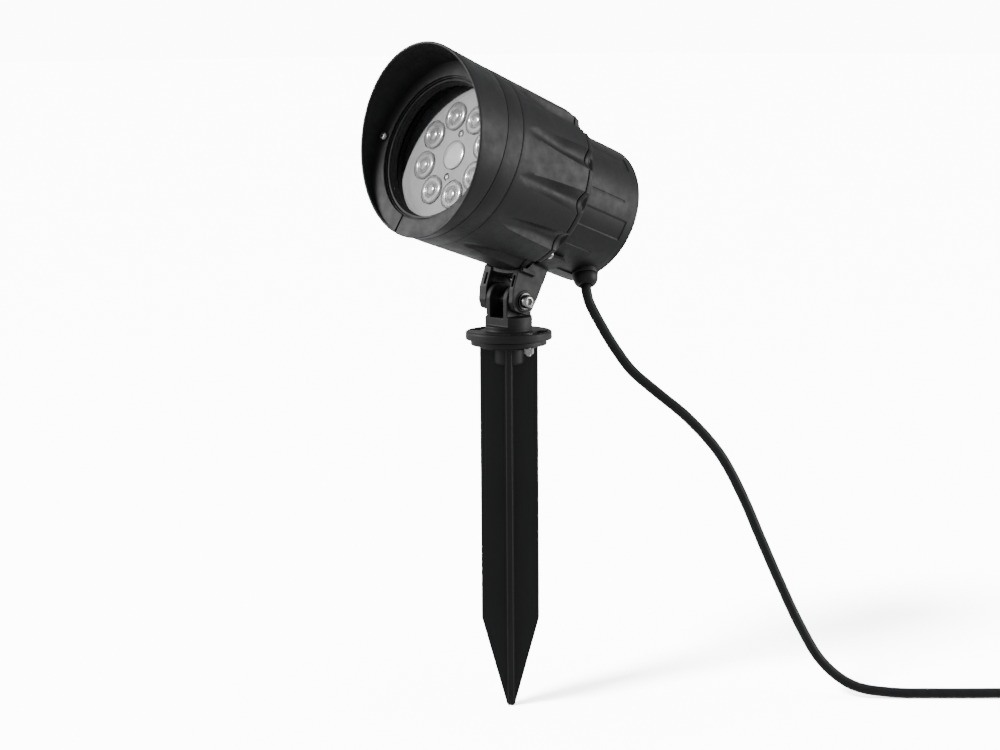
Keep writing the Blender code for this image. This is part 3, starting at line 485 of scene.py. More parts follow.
def fluted_columns(along):
    """Angles and depths round the housing, packed so that they follow each scoop's edge."""
    reach = max(0.0, 1 - along / FLUTE_LENGTH)
    half = FLUTE_HALF * reach ** 0.4
    spread = max(half, math.radians(0.35 + 0.6 * max(0.0, along - FLUTE_LENGTH)))
    depth = FLUTE_DEPTH * min(1.0, 1.6 * reach) * min(1.0, half / spread)
    pitch = math.tau / FLUTES
    for k in range(FLUTES):
        centre = FLUTE_START + k * pitch
        for j in range(17):
            across = -1 + j / 8
            yield centre + spread * across, depth * (1 - across * across)
        for j in range(1, 12):
            yield centre + spread + (pitch - 2 * spread) * j / 12, 0.0


def build_housing():
    rings = []

    def outer(along, inset):
        plain = HOUSING_REAR_RADIUS + HOUSING_TAPER * along / HOUSING_LENGTH
        level = min(max(along, 0), HOUSING_LENGTH)
        rings.append([
            polar(a, plain - dip - inset, along) for a, dip in fluted_columns(level)
        ])

    def inner(radius, along):
        rings.append([polar(a, radius, along) for a, dip in fluted_columns(0)])

    for along, inset in ((0.0, 1.3), (0.0, 0.55), (0.12, 0.25), (0.35, 0.07), (0.7, 0.0)):
        outer(along, inset)
    for k in range(1, 34):
        outer(0.7 + 1.54 * k, 0)
    for along, inset in ((53.5, 0), (56.0, 0), (56.6, 0.06), (56.9, 0.22), (57.0, 0.5)):
        outer(along, inset)
    for radius, along in ((45, 57), (45, 52), (5, 52), (5, 47), (44.5, 47), (44.5, 0)):
        inner(radius, along)
    bm = bmesh.new()
    skin(bm, rings, along=True)
    make_piece("housing_shell", bm, COAT, "head", nodes="main_housing")


# ---- rear cover ----
COVER_PROFILE = [  # along, radius, from the back to the seam
    (-57.9, 24.0), (-57.55, 33.0), (-57.1, 37.0), (-56.5, 38.9), (-55.6, 40.2), (-54.4, 41.1),
    (-52.9, 41.65), (-51, 41.85), (-30, 42.15), (-13, 42.40), (-10.9, 42.55), (-10.1, 43.0),
    (-9.5, 43.9), (-8.6, 45.8), (-7.9, 47.0), (-7.3, 47.6), (-6.6, 48.0), (-5.6, 49.2),
    (-5.0, 49.9), (-4.6, 50.2), (-4.2, 50.35), (-1.75, 50.4), (-1.45, 50.25), (-1.3, 49.9),
]
COVER_PANELS = [  # two angles in degrees, two places along, depth; a raised pad is negative
    (81.8, 83.2, -42.0, -13.0, 0.42), (97.5, 113.6, -48.0, -12.5, 0.50),
    (131.6, 132.8, -35.0, -13.5, 0.30), (-83.2, -81.8, -42.0, -13.0, 0.42),
    (-113.6, -97.5, -48.0, -12.5, 0.50), (-132.8, -131.6, -35.0, -13.5, 0.30),
    (38.0, 52.0, -48.0, -12.5, 0.50), (-52.0, -38.0, -48.0, -12.5, 0.50),
    (-8.0, 8.0, -44.0, -14.0, 0.50), (163.0, 192.0, -54.5, -13.0, -1.0),
]
SHOULDER_REAR, SHOULDER_FRONT = -8.6, -5.0
BARREL_RADIUS, BARREL_TAPER = 42.4, 0.0147
COVER_BACK = -58.3


def ease(value):
    """A smooth step from 0 to 1."""
    value = min(1.0, max(0.0, value))
    return value * value * (3 - 2 * value)


def cover_radius(angle, along, plain):
    """The cover's outside: scoops that run out at the shoulder, and shallow panels."""
    degrees = (math.degrees(angle) + 180) % 360 - 180
    offset = (angle - FLUTE_START + math.pi / FLUTES) % (math.tau / FLUTES)
    across = (offset - math.pi / FLUTES) / FLUTE_HALF
    dip = FLUTE_DEPTH * max(0.0, 1 - across * across)
    share = ease((along - SHOULDER_REAR) / (SHOULDER_FRONT - SHOULDER_REAR))
    radius = plain - dip * share
    if along < -7.9:
        radius = max(radius, min(plain, 42.6))
    for low, high, rear, front, depth in COVER_PANELS:
        side = min(degrees - low, high - degrees) * 0.73
        end = min(along - rear, front - along)
        if side > -0.4 and end > -0.4:
            soft = 0.35 if depth > 0 else 0.9
            radius -= depth * ease(0.5 + side / soft) * ease(0.5 + end / soft)
    return radius


def build_cover():
    columns = [math.radians(0.5 * k) for k in range(720)]
    levels = []
    for (low, first), (high, second) in zip(COVER_PROFILE, COVER_PROFILE[1:]):
        steps = max(1, round((high - low) / 1.2))
        for k in range(steps):
            levels.append((low + (high - low) * k / steps, first + (second - first) * k / steps))
    for panel in COVER_PANELS:
        for edge in panel[2:4]:
            for shift in (-0.2, 0.2):
                at = edge + shift
                plain = BARREL_RADIUS + (at + 13) * BARREL_TAPER
                if all(abs(at - level[0]) > 0.1 for level in levels):
                    levels.append((at, plain))
    levels.sort()
    levels.append(COVER_PROFILE[-1])
    rings = [[Vector((0, 0, COVER_BACK))], [polar(a, 12.0, COVER_BACK + 0.1) for a in columns]]
    rings += [[polar(a, cover_radius(a, s, r), s) for a in columns] for s, r in levels]
    for radius, along in ((44.1, -1.3), (44.1, 6), (39, 6), (39, -50), (36, -54.5), (18, -54.8)):
        rings.append([polar(a, radius, along) for a in columns])
    rings.append([Vector((0, 0, -54.8))])
    bm = bmesh.new()
    skin(bm, rings)
    seat = [(0, 39.5), (7.9, 39.6), (7.9, 43.2), (7.7, 43.9), (7.3, 44.2), (0, 44.2)]
    turned(bm, seat, 48, GLAND)
    make_piece("rear_cover_shell", bm, COVER_COAT, "head", nodes="rear_cover",
               sharp=38)


# ---- bezel, visor, glass ----
def build_bezel():
    outline = rounded([
        (53.1, 57.3, 0.35), (53.2, 69.5, 0.35), (51.2, 69.5, 0), (51.2, 73.2, 0.2),
        (42.4, 73.2, 0.25), (42.4, 71.9, 0.1), (41.9, 71.9, 0.1), (41.9, 72.6, 0.3),
        (40.6, 72.6, 0.3), (40.5, 70.9, 0.1), (40.05, 70.5, 0.1), (40.0, 69.0, 0.1),
        (39.6, 68.7, 0.1), (39.6, 67.3, 0),
        (44.2, 67.3, 0), (44.2, 57.3, 0),
    ], 0.3)
    bm = turned(bmesh.new(), outline, 240)
    make_piece("bezel_ring", bm, COAT, "head", nodes="front_bezel")


VISOR_SLIT, SLIT_HALF = math.radians(197), math.radians(0.8)
VISOR_RADIUS, VISOR_WALL = 53.2, 1.6
VISOR_REAR, VISOR_FRONT = 69.8, 87.6  # the front is the rim's mean place
VISOR_SLANT = 0.247  # the rim leans forward at the top by this slope
LEDGE_REAR, LEDGE_FRONT, LEDGE_BORE = 73.5, 74.7, 43.0


def visor_radius(angle, along):
    """The hood widens a little towards its rim, most at the bottom."""
    share = (along - VISOR_REAR) / (VISOR_FRONT - VISOR_REAR)
    low = max(0.0, math.cos(angle - VISOR_SLIT)) ** 2
    return VISOR_RADIUS + 0.8 * share + 1.3 * low * min(1.0, 3 * share)


def build_visor():
    """The hood's wall and the ledge inside it, both with the slit at the bottom."""
    low = VISOR_SLIT + SLIT_HALF
    span = math.tau - 2 * SLIT_HALF
    walls, ledges = [], []
    for k in range(301):
        angle = low + span * k / 300
        cut = VISOR_FRONT + VISOR_RADIUS * VISOR_SLANT * math.cos(angle - HEAD_TURN)
        rim = max(cut, LEDGE_FRONT + 0.05)
        outer = visor_radius(angle, rim)
        step = visor_radius(angle, LEDGE_FRONT) - VISOR_WALL
        wall = min(1.0, max(0.02, (cut - LEDGE_FRONT) / VISOR_WALL))
        steps = []
        for j in range(1, 4):
            at = VISOR_REAR + (rim - VISOR_REAR) * j / 4
            steps.append((visor_radius(angle, at), at, 0))
        outline = rounded([
            (VISOR_RADIUS, VISOR_REAR, 0.35), *steps, (outer, rim, 0.62),
            (outer - VISOR_WALL, rim - 0.02, 0.62 * wall),
            (step, LEDGE_FRONT - 0.06, 0.5 * wall),
            (51.5, 73.9, 0), (51.5, VISOR_REAR, 0),
        ], 0.3, 4)
        walls.append([polar(angle, r, s) for r, s in outline])
        outline = rounded([
            (step + 0.3, LEDGE_FRONT - 0.01, 0), (LEDGE_BORE, LEDGE_FRONT, 0.45),
            (LEDGE_BORE, LEDGE_REAR, 0.2), (step + 0.3, LEDGE_REAR, 0),
        ], 0.3, 4)
        ledges.append([polar(angle, r, s) for r, s in outline])
    wall = bmesh.new()
    skin(wall, walls, caps=True)
    make_piece("visor_hood", wall, COAT, "head", nodes="visor")
    ledge = bmesh.new()
    skin(ledge, ledges, caps=True)
    make_piece("visor_ledge", ledge, COAT, "head", nodes="visor")


def build_glass():
    bm = turned(bmesh.new(), [
        (0, 64.0), (43.5, 64.0), (43.9, 64.4), (43.9, 66.6), (43.5, 67.0), (0, 67.0),
    ], 120)
    make_piece("front_glass", bm, GLASS, "head", nodes="glass_lens")


# ---- light engine ----
LENS_COUNT, LENS_PITCH = 8, 24.3
PLATE_SCREW_PITCH = 0.54 * LENS_PITCH
PLATE_RADIUS, PLATE_REAR, PLATE_FRONT = 43.4, 57.6, 59.6
LENS_WELL, SCREW_WELL = 9.0, 2.4


def lens_spots():
    yield "centre", Vector((0, 0, 0))
    for k in range(LENS_COUNT):
        angle = HEAD_TURN + math.tau * (k + 0.5) / LENS_COUNT
        yield str(k + 1), polar(angle, LENS_PITCH, 0)


LENS_OUTLINE = [  # a low dome inside a rounded ring, as such collimators have
    (0, 59.1), (8.2, 59.1), (8.45, 59.3), (8.5, 59.75), (8.35, 60.0), (8.05, 60.25),
    (7.6, 60.45), (7.0, 60.6), (6.3, 60.68), (5.6, 60.68), (5.0, 60.58), (4.6, 60.42),
    (4.35, 60.25), (4.1, 60.3), (3.7, 60.6), (3.1, 60.85), (2.3, 61.05), (1.3, 61.15),
    (0, 61.2),
]
CENTRE_OUTLINE = [
    (0, 59.1), (8.2, 59.1), (8.45, 59.3), (8.5, 59.75), (8.3, 60.0), (7.9, 60.15),
    (6.9, 60.3), (5.2, 60.45), (2.6, 60.55), (0, 60.6),
]


def build_light_engine():
    """The plate with its lenses; returned, because one lamp shines on these alone."""
    plate = solid(turned, [
        (0, PLATE_REAR), (PLATE_RADIUS - 0.2, PLATE_REAR), (PLATE_RADIUS, PLATE_REAR + 0.2),
        (PLATE_RADIUS, PLATE_FRONT - 0.2), (PLATE_RADIUS - 0.2, PLATE_FRONT), (0, PLATE_FRONT),
    ], 120)
    spots = [polar(HEAD_TURN + turn, PLATE_SCREW_PITCH, 0) for turn in (0, math.pi)]
    wells = [rod_tool(SCREW_WELL, 58.5, 61.0, Matrix.Translation(spot)) for spot in spots]
    wells += [rod_tool(LENS_WELL, 58.9, 61.0, Matrix.Translation(spot), 72)
              for name, spot in lens_spots()]
    carve(plate, wells, "DIFFERENCE")
    plate.name = plate.data.name = "plate_disc"
    dress(plate, PLATE, HEAD, sharp=32)
    settle(plate, "head", "optic_plate")
    pieces = [plate]
    for name, spot in lens_spots():
        at = Matrix.Translation(spot)
        outline = CENTRE_OUTLINE if name == "centre" else LENS_OUTLINE
        bm = turned(bmesh.new(), outline, 56, at)
        look = FROSTED if name == "centre" else ACRYLIC
        pieces.append(make_piece(f"lens_{name}", bm, look, "head", nodes=f"optic_{name}",
                                 sharp=50))
    return pieces


# ---- yoke ----
ALONG_X = Matrix(((0, 0, 1, 0), (1, 0, 0, 0), (0, 1, 0, 0), (0, 0, 0, 1)))
EAR_HALF_WIDTH = 10.3
EAR_TOP_REAR = -23.6
RIGHT_EAR, LEFT_EAR = (9.4, 13.2), (-16.8, -10.4)
PIVOT_FACE = 13.8  # how far out the bolt's and the nut's seats lie
PIVOT_BORE, NUT_POCKET = 3.3, 6.5
GROOVE_HALF = 0.75
WASHER_GAP, WASHER_THICKNESS = 0.3, 0.8


def arc_tool(middle, half, inner, outer, low, high, steps=24):
    """A stretch of a square-edged ring."""
    bm = bmesh.new()
    rings = []
    for k in range(steps + 1):
        angle = middle + half * (-1 + 2 * k / steps)
        rings.append([
            polar(angle, inner, low), polar(angle, outer, low), polar(angle, outer, high),
            polar(angle, inner, high),
        ])
    skin(bm, rings, caps=True)
    return mesh_object("tool", bm)


def box_tool(low, high):
    outline = [(low[0], low[1]), (high[0], low[1]), (high[0], high[1]), (low[0], high[1])]
    return solid(extrude, outline, low[2], high[2], edge=0.01, steps=1)


def rod_tool(radius, low, high, matrix=Matrix(), sides=40):
    return solid(turned, [(0, low), (radius, low), (radius, high), (0, high)], sides, matrix)


def build_yoke():
    rear, front = PIVOT_ALONG - EAR_HALF_WIDTH, PIVOT_ALONG + EAR_HALF_WIDTH
    end = [(4.5, -EAR_HALF_WIDTH), (0, -9.1), (-3.4, -8.4), (-7.4, -5.1)]
    end += [(up, -along) for up, along in reversed(end)]
    ear = [(PIVOT_UP + up, PIVOT_ALONG + along, 2.0) for up, along in end]
    ear += [(-49.0, front, 0), (-40.3, -8.0, 0), (-40.3, EAR_TOP_REAR, 0)]
    ear = rounded(ear, 1.0, 4)
    body = arc_tool(math.pi, math.radians(33), 42.0, 46.2, EAR_TOP_REAR - 0.4, -10.5)
    parts = []
    boss = Matrix.Translation((0, PIVOT_UP, PIVOT_ALONG)) @ ALONG_X
    for low, high in (RIGHT_EAR, LEFT_EAR):
        parts.append(solid(extrude, ear, low, high, ALONG_X, edge=0.3))
    parts.append(rod_tool(6.2, 13.0, PIVOT_FACE, boss))
    web_left, web_right = LEFT_EAR[1] - 0.4, RIGHT_EAR[0] + 0.4
    parts.append(box_tool((web_left, -53.5, rear + 1.2), (web_right, -43.0, -10.8)))
    parts.append(arc_tool(math.pi, math.radians(17.3), 50.9, 53.5, -11.6, -0.6))
    carve(body, parts, "UNION")
    cuts = [solid(turned, [
        (0, -50), (42.9, -50), (42.9, -10.5), (48.4, -7.3), (50.9, -4.5), (50.9, -0.5),
        (51.9, -0.4), (51.9, 5), (0, 5),
    ], 160)]
    cuts += [rod_tool(PIVOT_BORE, -30, 30, boss), rod_tool(NUT_POCKET, -18, -PIVOT_FACE, boss, 64)]
    for middle in (11.3, -12.9):
        cuts.append(box_tool(
            (middle - GROOVE_HALF, PIVOT_UP + 6.0, front - 3.0),
            (middle + GROOVE_HALF, PIVOT_UP + 13.0, front + 1.0),
        ))
    carve(body, cuts, "DIFFERENCE")
    cast("yoke_casting", body, CAST_COAT, "head", HEAD, "yoke_bracket", 0.28, 3)
    for name, side in (("r", 1), ("l", -1)):
        make_screw(f"yoke_screw_{name}", Vector((side * 5.0, -53.8, -14.0)), Vector((0, -1, 0)),
                   2.7, 2.0, 1.4, 5.0, "head")


def build_pivot():
    at = Vector((0, PIVOT_UP, PIVOT_ALONG))
    washer_low = PIVOT_FACE + WASHER_GAP
    reach = washer_low + WASHER_THICKNESS + WASHER_GAP
    aim = Vector((1, 0, 0))
    make_screw("pivot_bolt", at + reach * aim, aim, 4.1, 3.2, 3.0, 2 * reach + 5.2, "head",
               spin=0.3)
    place = Matrix.Translation(at) @ ALONG_X
    for side, turn in (("r", 1), ("l", -1)):
        low, high = sorted((turn * washer_low, turn * (washer_low + WASHER_THICKNESS)))
        ring = rounded([(3.2, low), (5.0, low), (5.0, high), (3.2, high)], 0.2, 3)
        bm = turned(bmesh.new(), ring, 64, place)
        make_piece(f"washer_{side}_fine", bm, DARK_STEEL, "head", nodes=f"pivot_washer_{side}")
    top, low = -reach, -reach - 4.8
    bm = turned(bmesh.new(), [
        (3.3, low + 0.4), (3.9, low), (4.75, low), (hexagon(5.5, 0.12), low + 0.45),
        (hexagon(5.7, 0.12), low + 0.7), (hexagon(5.7, 0.12), top - 0.5), (5.0, top),
        (3.3, top),
    ], 96, place)
    make_piece("pivot_nut_fine", bm, STEEL, "head", nodes="pivot_nut", sharp=25)


# ---- swivel base ----
PIVOT_HEIGHT = 247.8
KNUCKLE_RADIUS, KNUCKLE_HALF = 9.9, 9.1
SLOT_PITCH = 20.5


def build_swivel():
    body = solid(turned, [
        (0, 224.5), (25.3, 224.5), (25.7, 224.9), (25.7, 228.5), (25.4, 229.2), (24.8, 229.5),
        (14.6, 229.5), (14.1, 229.9), (14.0, 230.4), (14.0, 237.9), (13.4, 238.5), (0, 238.5),
    ], 160)
    arc = [math.pi * k / 24 for k in range(25)]
    outline = [(-KNUCKLE_RADIUS, 231.5), (KNUCKLE_RADIUS, 231.5)]
    outline += [(KNUCKLE_RADIUS * math.cos(a), PIVOT_HEIGHT + KNUCKLE_RADIUS * math.sin(a))
                for a in arc]
    knuckle = solid(extrude, outline, -KNUCKLE_HALF, KNUCKLE_HALF, ALONG_X, edge=0.4)
    carve(body, [knuckle], "UNION")
    cuts = [
        box_tool((-30, -30, 232.7), (30, -9.8, 270)),
        box_tool((-5.7, -30, 237.8), (5.7, 6.5, 270)),
        rod_tool(PIVOT_BORE, -30, 30, Matrix.Translation((0, 0, PIVOT_HEIGHT)) @ ALONG_X),
    ]
    for middle in (math.pi / 2, -math.pi / 2):
        for half, width, low, high in ((42, 3.3, 227.0, 231.0), (38, 1.8, 222.0, 228.0)):
            cuts.append(arc_tool(
                middle, math.radians(half), SLOT_PITCH - width, SLOT_PITCH + width, low, high))
    carve(body, cuts, "DIFFERENCE")
    cast("swivel_casting", body, CAST_COAT, "swivel", WORLD_MM, "swivel_base",
         0.30, 3)


# ---- stake ----
FIN_DIRECTION = math.radians(47)
FIN_REACH, FIN_HALF, FIN_TOP = 17.3, 1.8, 220.8
TAPER_LOW, TAPER_HIGH = (1.6, 2.6), (54.2, 17.1)  # height and reach at the taper's ends


def cross_outline(reach, half, end_round, inner_round):
    """The four-finned section, with rounded fin ends and filleted roots."""
    points = []
    for k in range(4):
        turn = FIN_DIRECTION + k * math.pi / 2
        along = Vector((math.cos(turn), math.sin(turn)))
        side = Vector((-along.y, along.x))
        for spot, size in (
            (reach * along - half * side, end_round), (reach * along + half * side, end_round),
            (half * along + half * side, inner_round),
        ):
            points.append((spot.x, spot.y, size))
    return rounded(points, 1, 4)


def build_stake():
    bm = bmesh.new()
    rings = []
    levels = [(0.0, 1.1, 1.0), (0.25, 1.6, 1.4), (0.8, 2.1, 1.7), (*TAPER_LOW, FIN_HALF)]
    for k in range(1, 13):
        height, reach = (a + (b - a) * k / 12 for a, b in zip(TAPER_LOW, TAPER_HIGH))
        levels.append((height, reach, FIN_HALF))
    levels += [(54.8, 17.26, FIN_HALF), (55.8, FIN_REACH, FIN_HALF)]
    levels += [(55.8 + (FIN_TOP - 55.8) * k / 20, FIN_REACH, FIN_HALF) for k in range(1, 21)]
    for level, reach, half in levels:
        section = cross_outline(reach, half, min(0.85, 0.45 * half), 0.9)
        rings.append([Vector((x, y, level)) for x, y in section])
    skin(bm, rings, caps=True)
    for outline, sides in (  # plate, collar, boss
        ([(0, 221.2, 0), (22.6, 221.2, 0.5), (22.6, 224.2, 0.5), (0, 224.2, 0)], 128),
        ([(0, 219.4, 0), (16.8, 219.4, 0.4), (16.8, 221.3, 0), (0, 221.3, 0)], 112),
        ([(0, 209.4, 0), (9.25, 209.4, 1.6), (9.25, 219.5, 0), (0, 219.5, 0)], 80),
    ):
        turned(bm, rounded(outline, 0.5, 4), sides)
    make_piece("stake_body", bm, STAKE_PLASTIC, "stake", WORLD_MM, "ground_stake",
               30)


CLAMP_ANGLE = math.radians(-8)


def build_clamps():
    for side, turn in (("r", 0.0), ("l", math.pi)):
        angle = CLAMP_ANGLE + turn
        spot = Vector((SLOT_PITCH * math.cos(angle), SLOT_PITCH * math.sin(angle), 227.3))
        make_screw(f"clamp_screw_{side}", spot, Vector((0, 0, 1)), 2.8, 2.1, 1.5, 11.1, "stake",
                   "cross", 0.4, space=WORLD_MM)
        at = Matrix.Translation(Vector((spot.x, spot.y, 220.9)))
        bm = turned(bmesh.new(), [
            (1.9, -3.1), (2.1, -3.4), (2.7, -3.4), (hexagon(3.1, 0.08), -3.1),
            (hexagon(3.17, 0.08), -2.9), (hexagon(3.17, 0.08), -0.3), (2.8, 0), (1.9, 0),
        ], 72, at)
        make_piece(f"clamp_nut_{side}_fine", bm, STEEL, "stake", WORLD_MM, f"clamp_nut_{side}",
                   25)


# ---- gland ----
GLAND_ANGLE, GLAND_ALONG = math.radians(155), -48.0
gland_aim = polar(GLAND_ANGLE, 1, 0)
GLAND = Matrix.Translation((0, 0, GLAND_ALONG)) @ (
    Vector((0, 0, 1)).rotation_difference(gland_aim).to_matrix().to_4x4()
)


def build_gland():
    bm = turned(bmesh.new(), [
        (3.9, 44.5), (7.2, 44.5), (7.5, 44.8), (7.55, 46.0), (7.4, 46.9), (7.1, 47.8),
        (6.7, 48.8), (6.2, 49.5), (5.6, 50.1), (5.0, 50.6), (4.4, 50.9), (4.0, 51.0), (3.9, 50.8),
    ], 96, GLAND)
    make_piece("gland_nut_fine", bm, GLAND_PLASTIC, "head", nodes="gland_nut",
               sharp=40)


# ---- cord ----
CORD_RADIUS = 0.0031
CORD_ROUTE = [
    (0.0240, 0.0442, 0.2432), (0.0293, 0.0489, 0.2298), (0.0353, 0.0544, 0.2164),
    (0.0430, 0.0608, 0.2032), (0.0536, 0.0699, 0.1912), (0.0690, 0.0830, 0.1745),
    (0.0825, 0.0955, 0.1535), (0.0910, 0.1060, 0.1285), (0.0970, 0.1165, 0.1010),
    (0.1030, 0.1275, 0.0730), (0.1100, 0.1385, 0.0455), (0.1190, 0.1490, 0.0225),
    (0.1330, 0.1615, 0.0080), (0.1500, 0.1775, 0.0038), (0.1680, 0.1955, 0.0034),
    (0.1860, 0.2145, 0.0034), (0.2030, 0.2331, 0.0034), (0.2193, 0.2510, 0.0034),
]
COIL_CENTRE = Vector((0.2051, 0.2978, 0))
COIL_OUTER, COIL_STEP = 0.0422, 0.0062
COIL_LOW, COIL_HIGH = 0.0035, 0.0096
FLOOR_RUN = math.radians(47.6)
COIL_TURNS, COIL_COUNT = 4.25, 170
CURVE_STEPS = 6
TAIL = 0.0265  # straight stretch from the coil to the plug


def catmull(points, steps):
    """A smooth curve through the given points, with equal counts between them."""
    padded = [2 * points[0] - points[1], *points, 2 * points[-1] - points[-2]]
    dense = []
    for a, b, c, d in zip(padded, padded[1:], padded[2:], padded[3:]):
        for k in range(steps):
            t = k / steps
            dense.append(0.5 * (
                2 * b + (c - a) * t + (2 * a - 5 * b + 4 * c - d) * t * t
                + (3 * b - a - 3 * c + d) * t ** 3
            ))
    dense.append(points[-1])
    return dense


def coil_points():
    """Two turns inward on the floor, a quarter climbing, two turns outward on top."""
    start = FLOOR_RUN - math.pi / 2
    made = []
    for k in range(COIL_COUNT + 1):
        done = COIL_TURNS * k / COIL_COUNT
        if done < 2:
            radius, height = COIL_OUTER - COIL_STEP * done, COIL_LOW
        elif done < 2.25:
            share = ease((done - 2) / 0.25)
            radius = COIL_OUTER - 2 * COIL_STEP
            height = COIL_LOW + (COIL_HIGH - COIL_LOW) * share
        else:
            radius = COIL_OUTER - 2 * COIL_STEP + COIL_STEP * (done - 2.25)
            height = COIL_HIGH
        angle = start + math.tau * done
        made.append(COIL_CENTRE + Vector((
            radius * math.cos(angle), radius * math.sin(angle), height,
        )))
    return made


def cord_path():
    """Out of the gland, down to the floor, along it, round the coil and on to the plug."""
    start = HEAD @ GLAND @ Vector((0, 0, 51.3))
    second = HEAD @ GLAND @ Vector((0, 0, 54.5))
    route = [start, second] + [Vector(point) for point in CORD_ROUTE]
    free = catmull(route, CURVE_STEPS)
    coil = coil_points()
    join = catmull([free[-CURVE_STEPS - 1], free[-1], coil[0], coil[4]], CURVE_STEPS)
    bridge = join[CURVE_STEPS + 1:2 * CURVE_STEPS]
    onward = Vector((-math.sin(FLOOR_RUN), math.cos(FLOOR_RUN), 0))
    tail = [coil[-1] + onward * TAIL * k / 6 + Vector((0, 0, 0.0014 * ease(k / 6)))
            for k in range(1, 7)]
    return free + bridge + coil + tail


def sweep_tube(bm, points, radius, sides):
    """A round tube along a path, without twist."""
    normal = Vector((0, 0, 1))
    rings = []
    for k, point in enumerate(points):
        before = points[max(k - 1, 0)]
        after = points[min(k + 1, len(points) - 1)]
        along = (after - before).normalized()
        normal = (normal - along * normal.dot(along)).normalized()
        side = along.cross(normal)
        rings.append([
            point + radius * (math.cos(a) * normal + math.sin(a) * side)
            for a in (math.tau * j / sides for j in range(sides))
        ])
    skin(bm, rings, caps=True)
    return bm


def build_cord():
    points = cord_path()
    cord = mesh_object("mains_cord", sweep_tube(bmesh.new(), points, CORD_RADIUS, 20))
    dress(cord, RUBBER)
    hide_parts("power_cord", "cord_coil")
    tie = build_tie()
    plug, pins = build_plug()
    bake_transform(cord)


TIE_HALF, TIE_THICKNESS = 0.0045, 0.0005


def build_tie():
    """A soft strap wrapped round the coil's strands."""
    bm = bmesh.new()
    turn = FLOOR_RUN + math.radians(200)
    outward = Vector((math.cos(turn), math.sin(turn), 0))
    sideways = Vector((-outward.y, outward.x, 0))
    section = rounded([
        (0.0264, 0.0001), (0.0456, 0.0001), (0.0456, 0.0130), (0.0264, 0.0130),
    ], 0.0026, 5)
    middle = Vector((0.0360, 0.00655))

    def band(k, swell):
        ring = []
        for x, z in section:
            spot = Vector((x, z))
            spot += (spot - middle).normalized() * swell
            ring.append(COIL_CENTRE + outward * spot.x + sideways * TIE_HALF * (-1 + k / 4)
                        + Vector((0, 0, max(spot.y, 0.0001))))
        return ring

    outer = [band(k, 0.0003 * (1 - abs(k - 4) / 4)) for k in range(9)]
    inner = [band(k, -TIE_THICKNESS) for k in reversed(range(9))]
    skin(bm, outer + inner, along=True)
    return make_piece("coil_tie", bm, SEAL_RUBBER, "swivel", Matrix())


PLUG_AT = (
    Matrix.Translation(COIL_CENTRE) @ Matrix.Rotation(FLOOR_RUN, 4, "Z")
    @ Matrix.Translation((COIL_OUTER, TAIL, 0)) @ Matrix.Rotation(math.pi / 2, 4, "Z")
)


def superellipse(half_x, half_z, power, count=48):
    """Points of a rounded box section; a power of 2 is an ellipse."""
    for k in range(count):
        angle = math.tau * k / count
        c, s = math.cos(angle), math.sin(angle)
        yield (half_x * math.copysign(abs(c) ** (2 / power), c),
               half_z * math.copysign(abs(s) ** (2 / power), s))


def build_plug():
    """A moulded two-pin plug with a ribbed neck and grip ridges."""
    axis = 0.0111
    sections = [  # along, half width, half thickness, power
        (-0.0240, 0.0040, 0.0040, 2), (-0.0236, 0.0046, 0.0046, 2)]
    for k in range(5):
        at = -0.0220 + 0.0042 * k
        size = 0.0047 + 0.00035 * k
        sections += [(at, size, size, 2), (at + 0.0022, size + 0.0001, size + 0.0001, 2),
                     (at + 0.0025, size - 0.0008, size - 0.0008, 2),
                     (at + 0.0038, size - 0.0008, size - 0.0008, 2)]
    sections += [
        (-0.0010, 0.0066, 0.0062, 2.1), (0.0040, 0.0078, 0.0070, 2.2),
        (0.0090, 0.0110, 0.0084, 2.4), (0.0130, 0.0148, 0.0098, 2.7),
        (0.0165, 0.0168, 0.0105, 3.0), (0.0200, 0.0174, 0.0107, 3.2),
    ]
    for k in range(4):
        at = 0.0215 + 0.0030 * k
        sections += [(at, 0.0175, 0.0107, 3.2), (at + 0.0008, 0.0169, 0.0102, 3.2),
                     (at + 0.0016, 0.0175, 0.0107, 3.2)]
    sections += [(0.0360, 0.0178, 0.0108, 3.4), (0.0405, 0.0179, 0.0108, 3.4),
                 (0.0416, 0.0174, 0.0104, 3.4), (0.0420, 0.0166, 0.0096, 3.4)]
    rings = []
    for along, half_x, half_z, power in sections:
        rings.append([
            PLUG_AT @ Vector((along, x, axis + z))
            for x, z in superellipse(half_x, half_z, power)
        ])
    bm = bmesh.new()
    skin(bm, rings, caps=True)
    plug = make_piece("plug_moulding", bm, RUBBER, "swivel", Matrix(), "plug_body")
    pins = []
    for side, turn in (("l", 1), ("r", -1)):
        place = PLUG_AT @ Matrix.Translation((0.0421, turn * 0.0095, axis)) @ (
            Matrix.Rotation(math.pi / 2, 4, "Y"))
        sleeve = turned(bmesh.new(), [
            (0, 0), (0.0019, 0), (0.0019, 0.0098), (0.0024, 0.0100), (0.0024, 0.0172),
            (0.0021, 0.0184), (0.0014, 0.0189), (0, 0.0190),
        ], 32, place)
        pins.append(make_piece(f"pin_{side}_metal", sleeve, STEEL, "swivel", Matrix(),
                               f"plug_pin_{side}"))
    return plug, pins


# ---- carried-over nodes ----
def dress_nodes():
    """Better materials for the nodes whose own shape is right."""
    looks = {
        "cover_seal": SEAL_RUBBER, "glass_gasket": SEAL_RUBBER, "gland_seal": SEAL_RUBBER,
        "led_board": BOARD, "led_driver": DRIVER, "lead_red": RED_LEAD,
        "lead_black": BLACK_LEAD,
    }
    for name, material in looks.items():
        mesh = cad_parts[name].data
        mesh.materials.clear()
        mesh.materials.append(material)


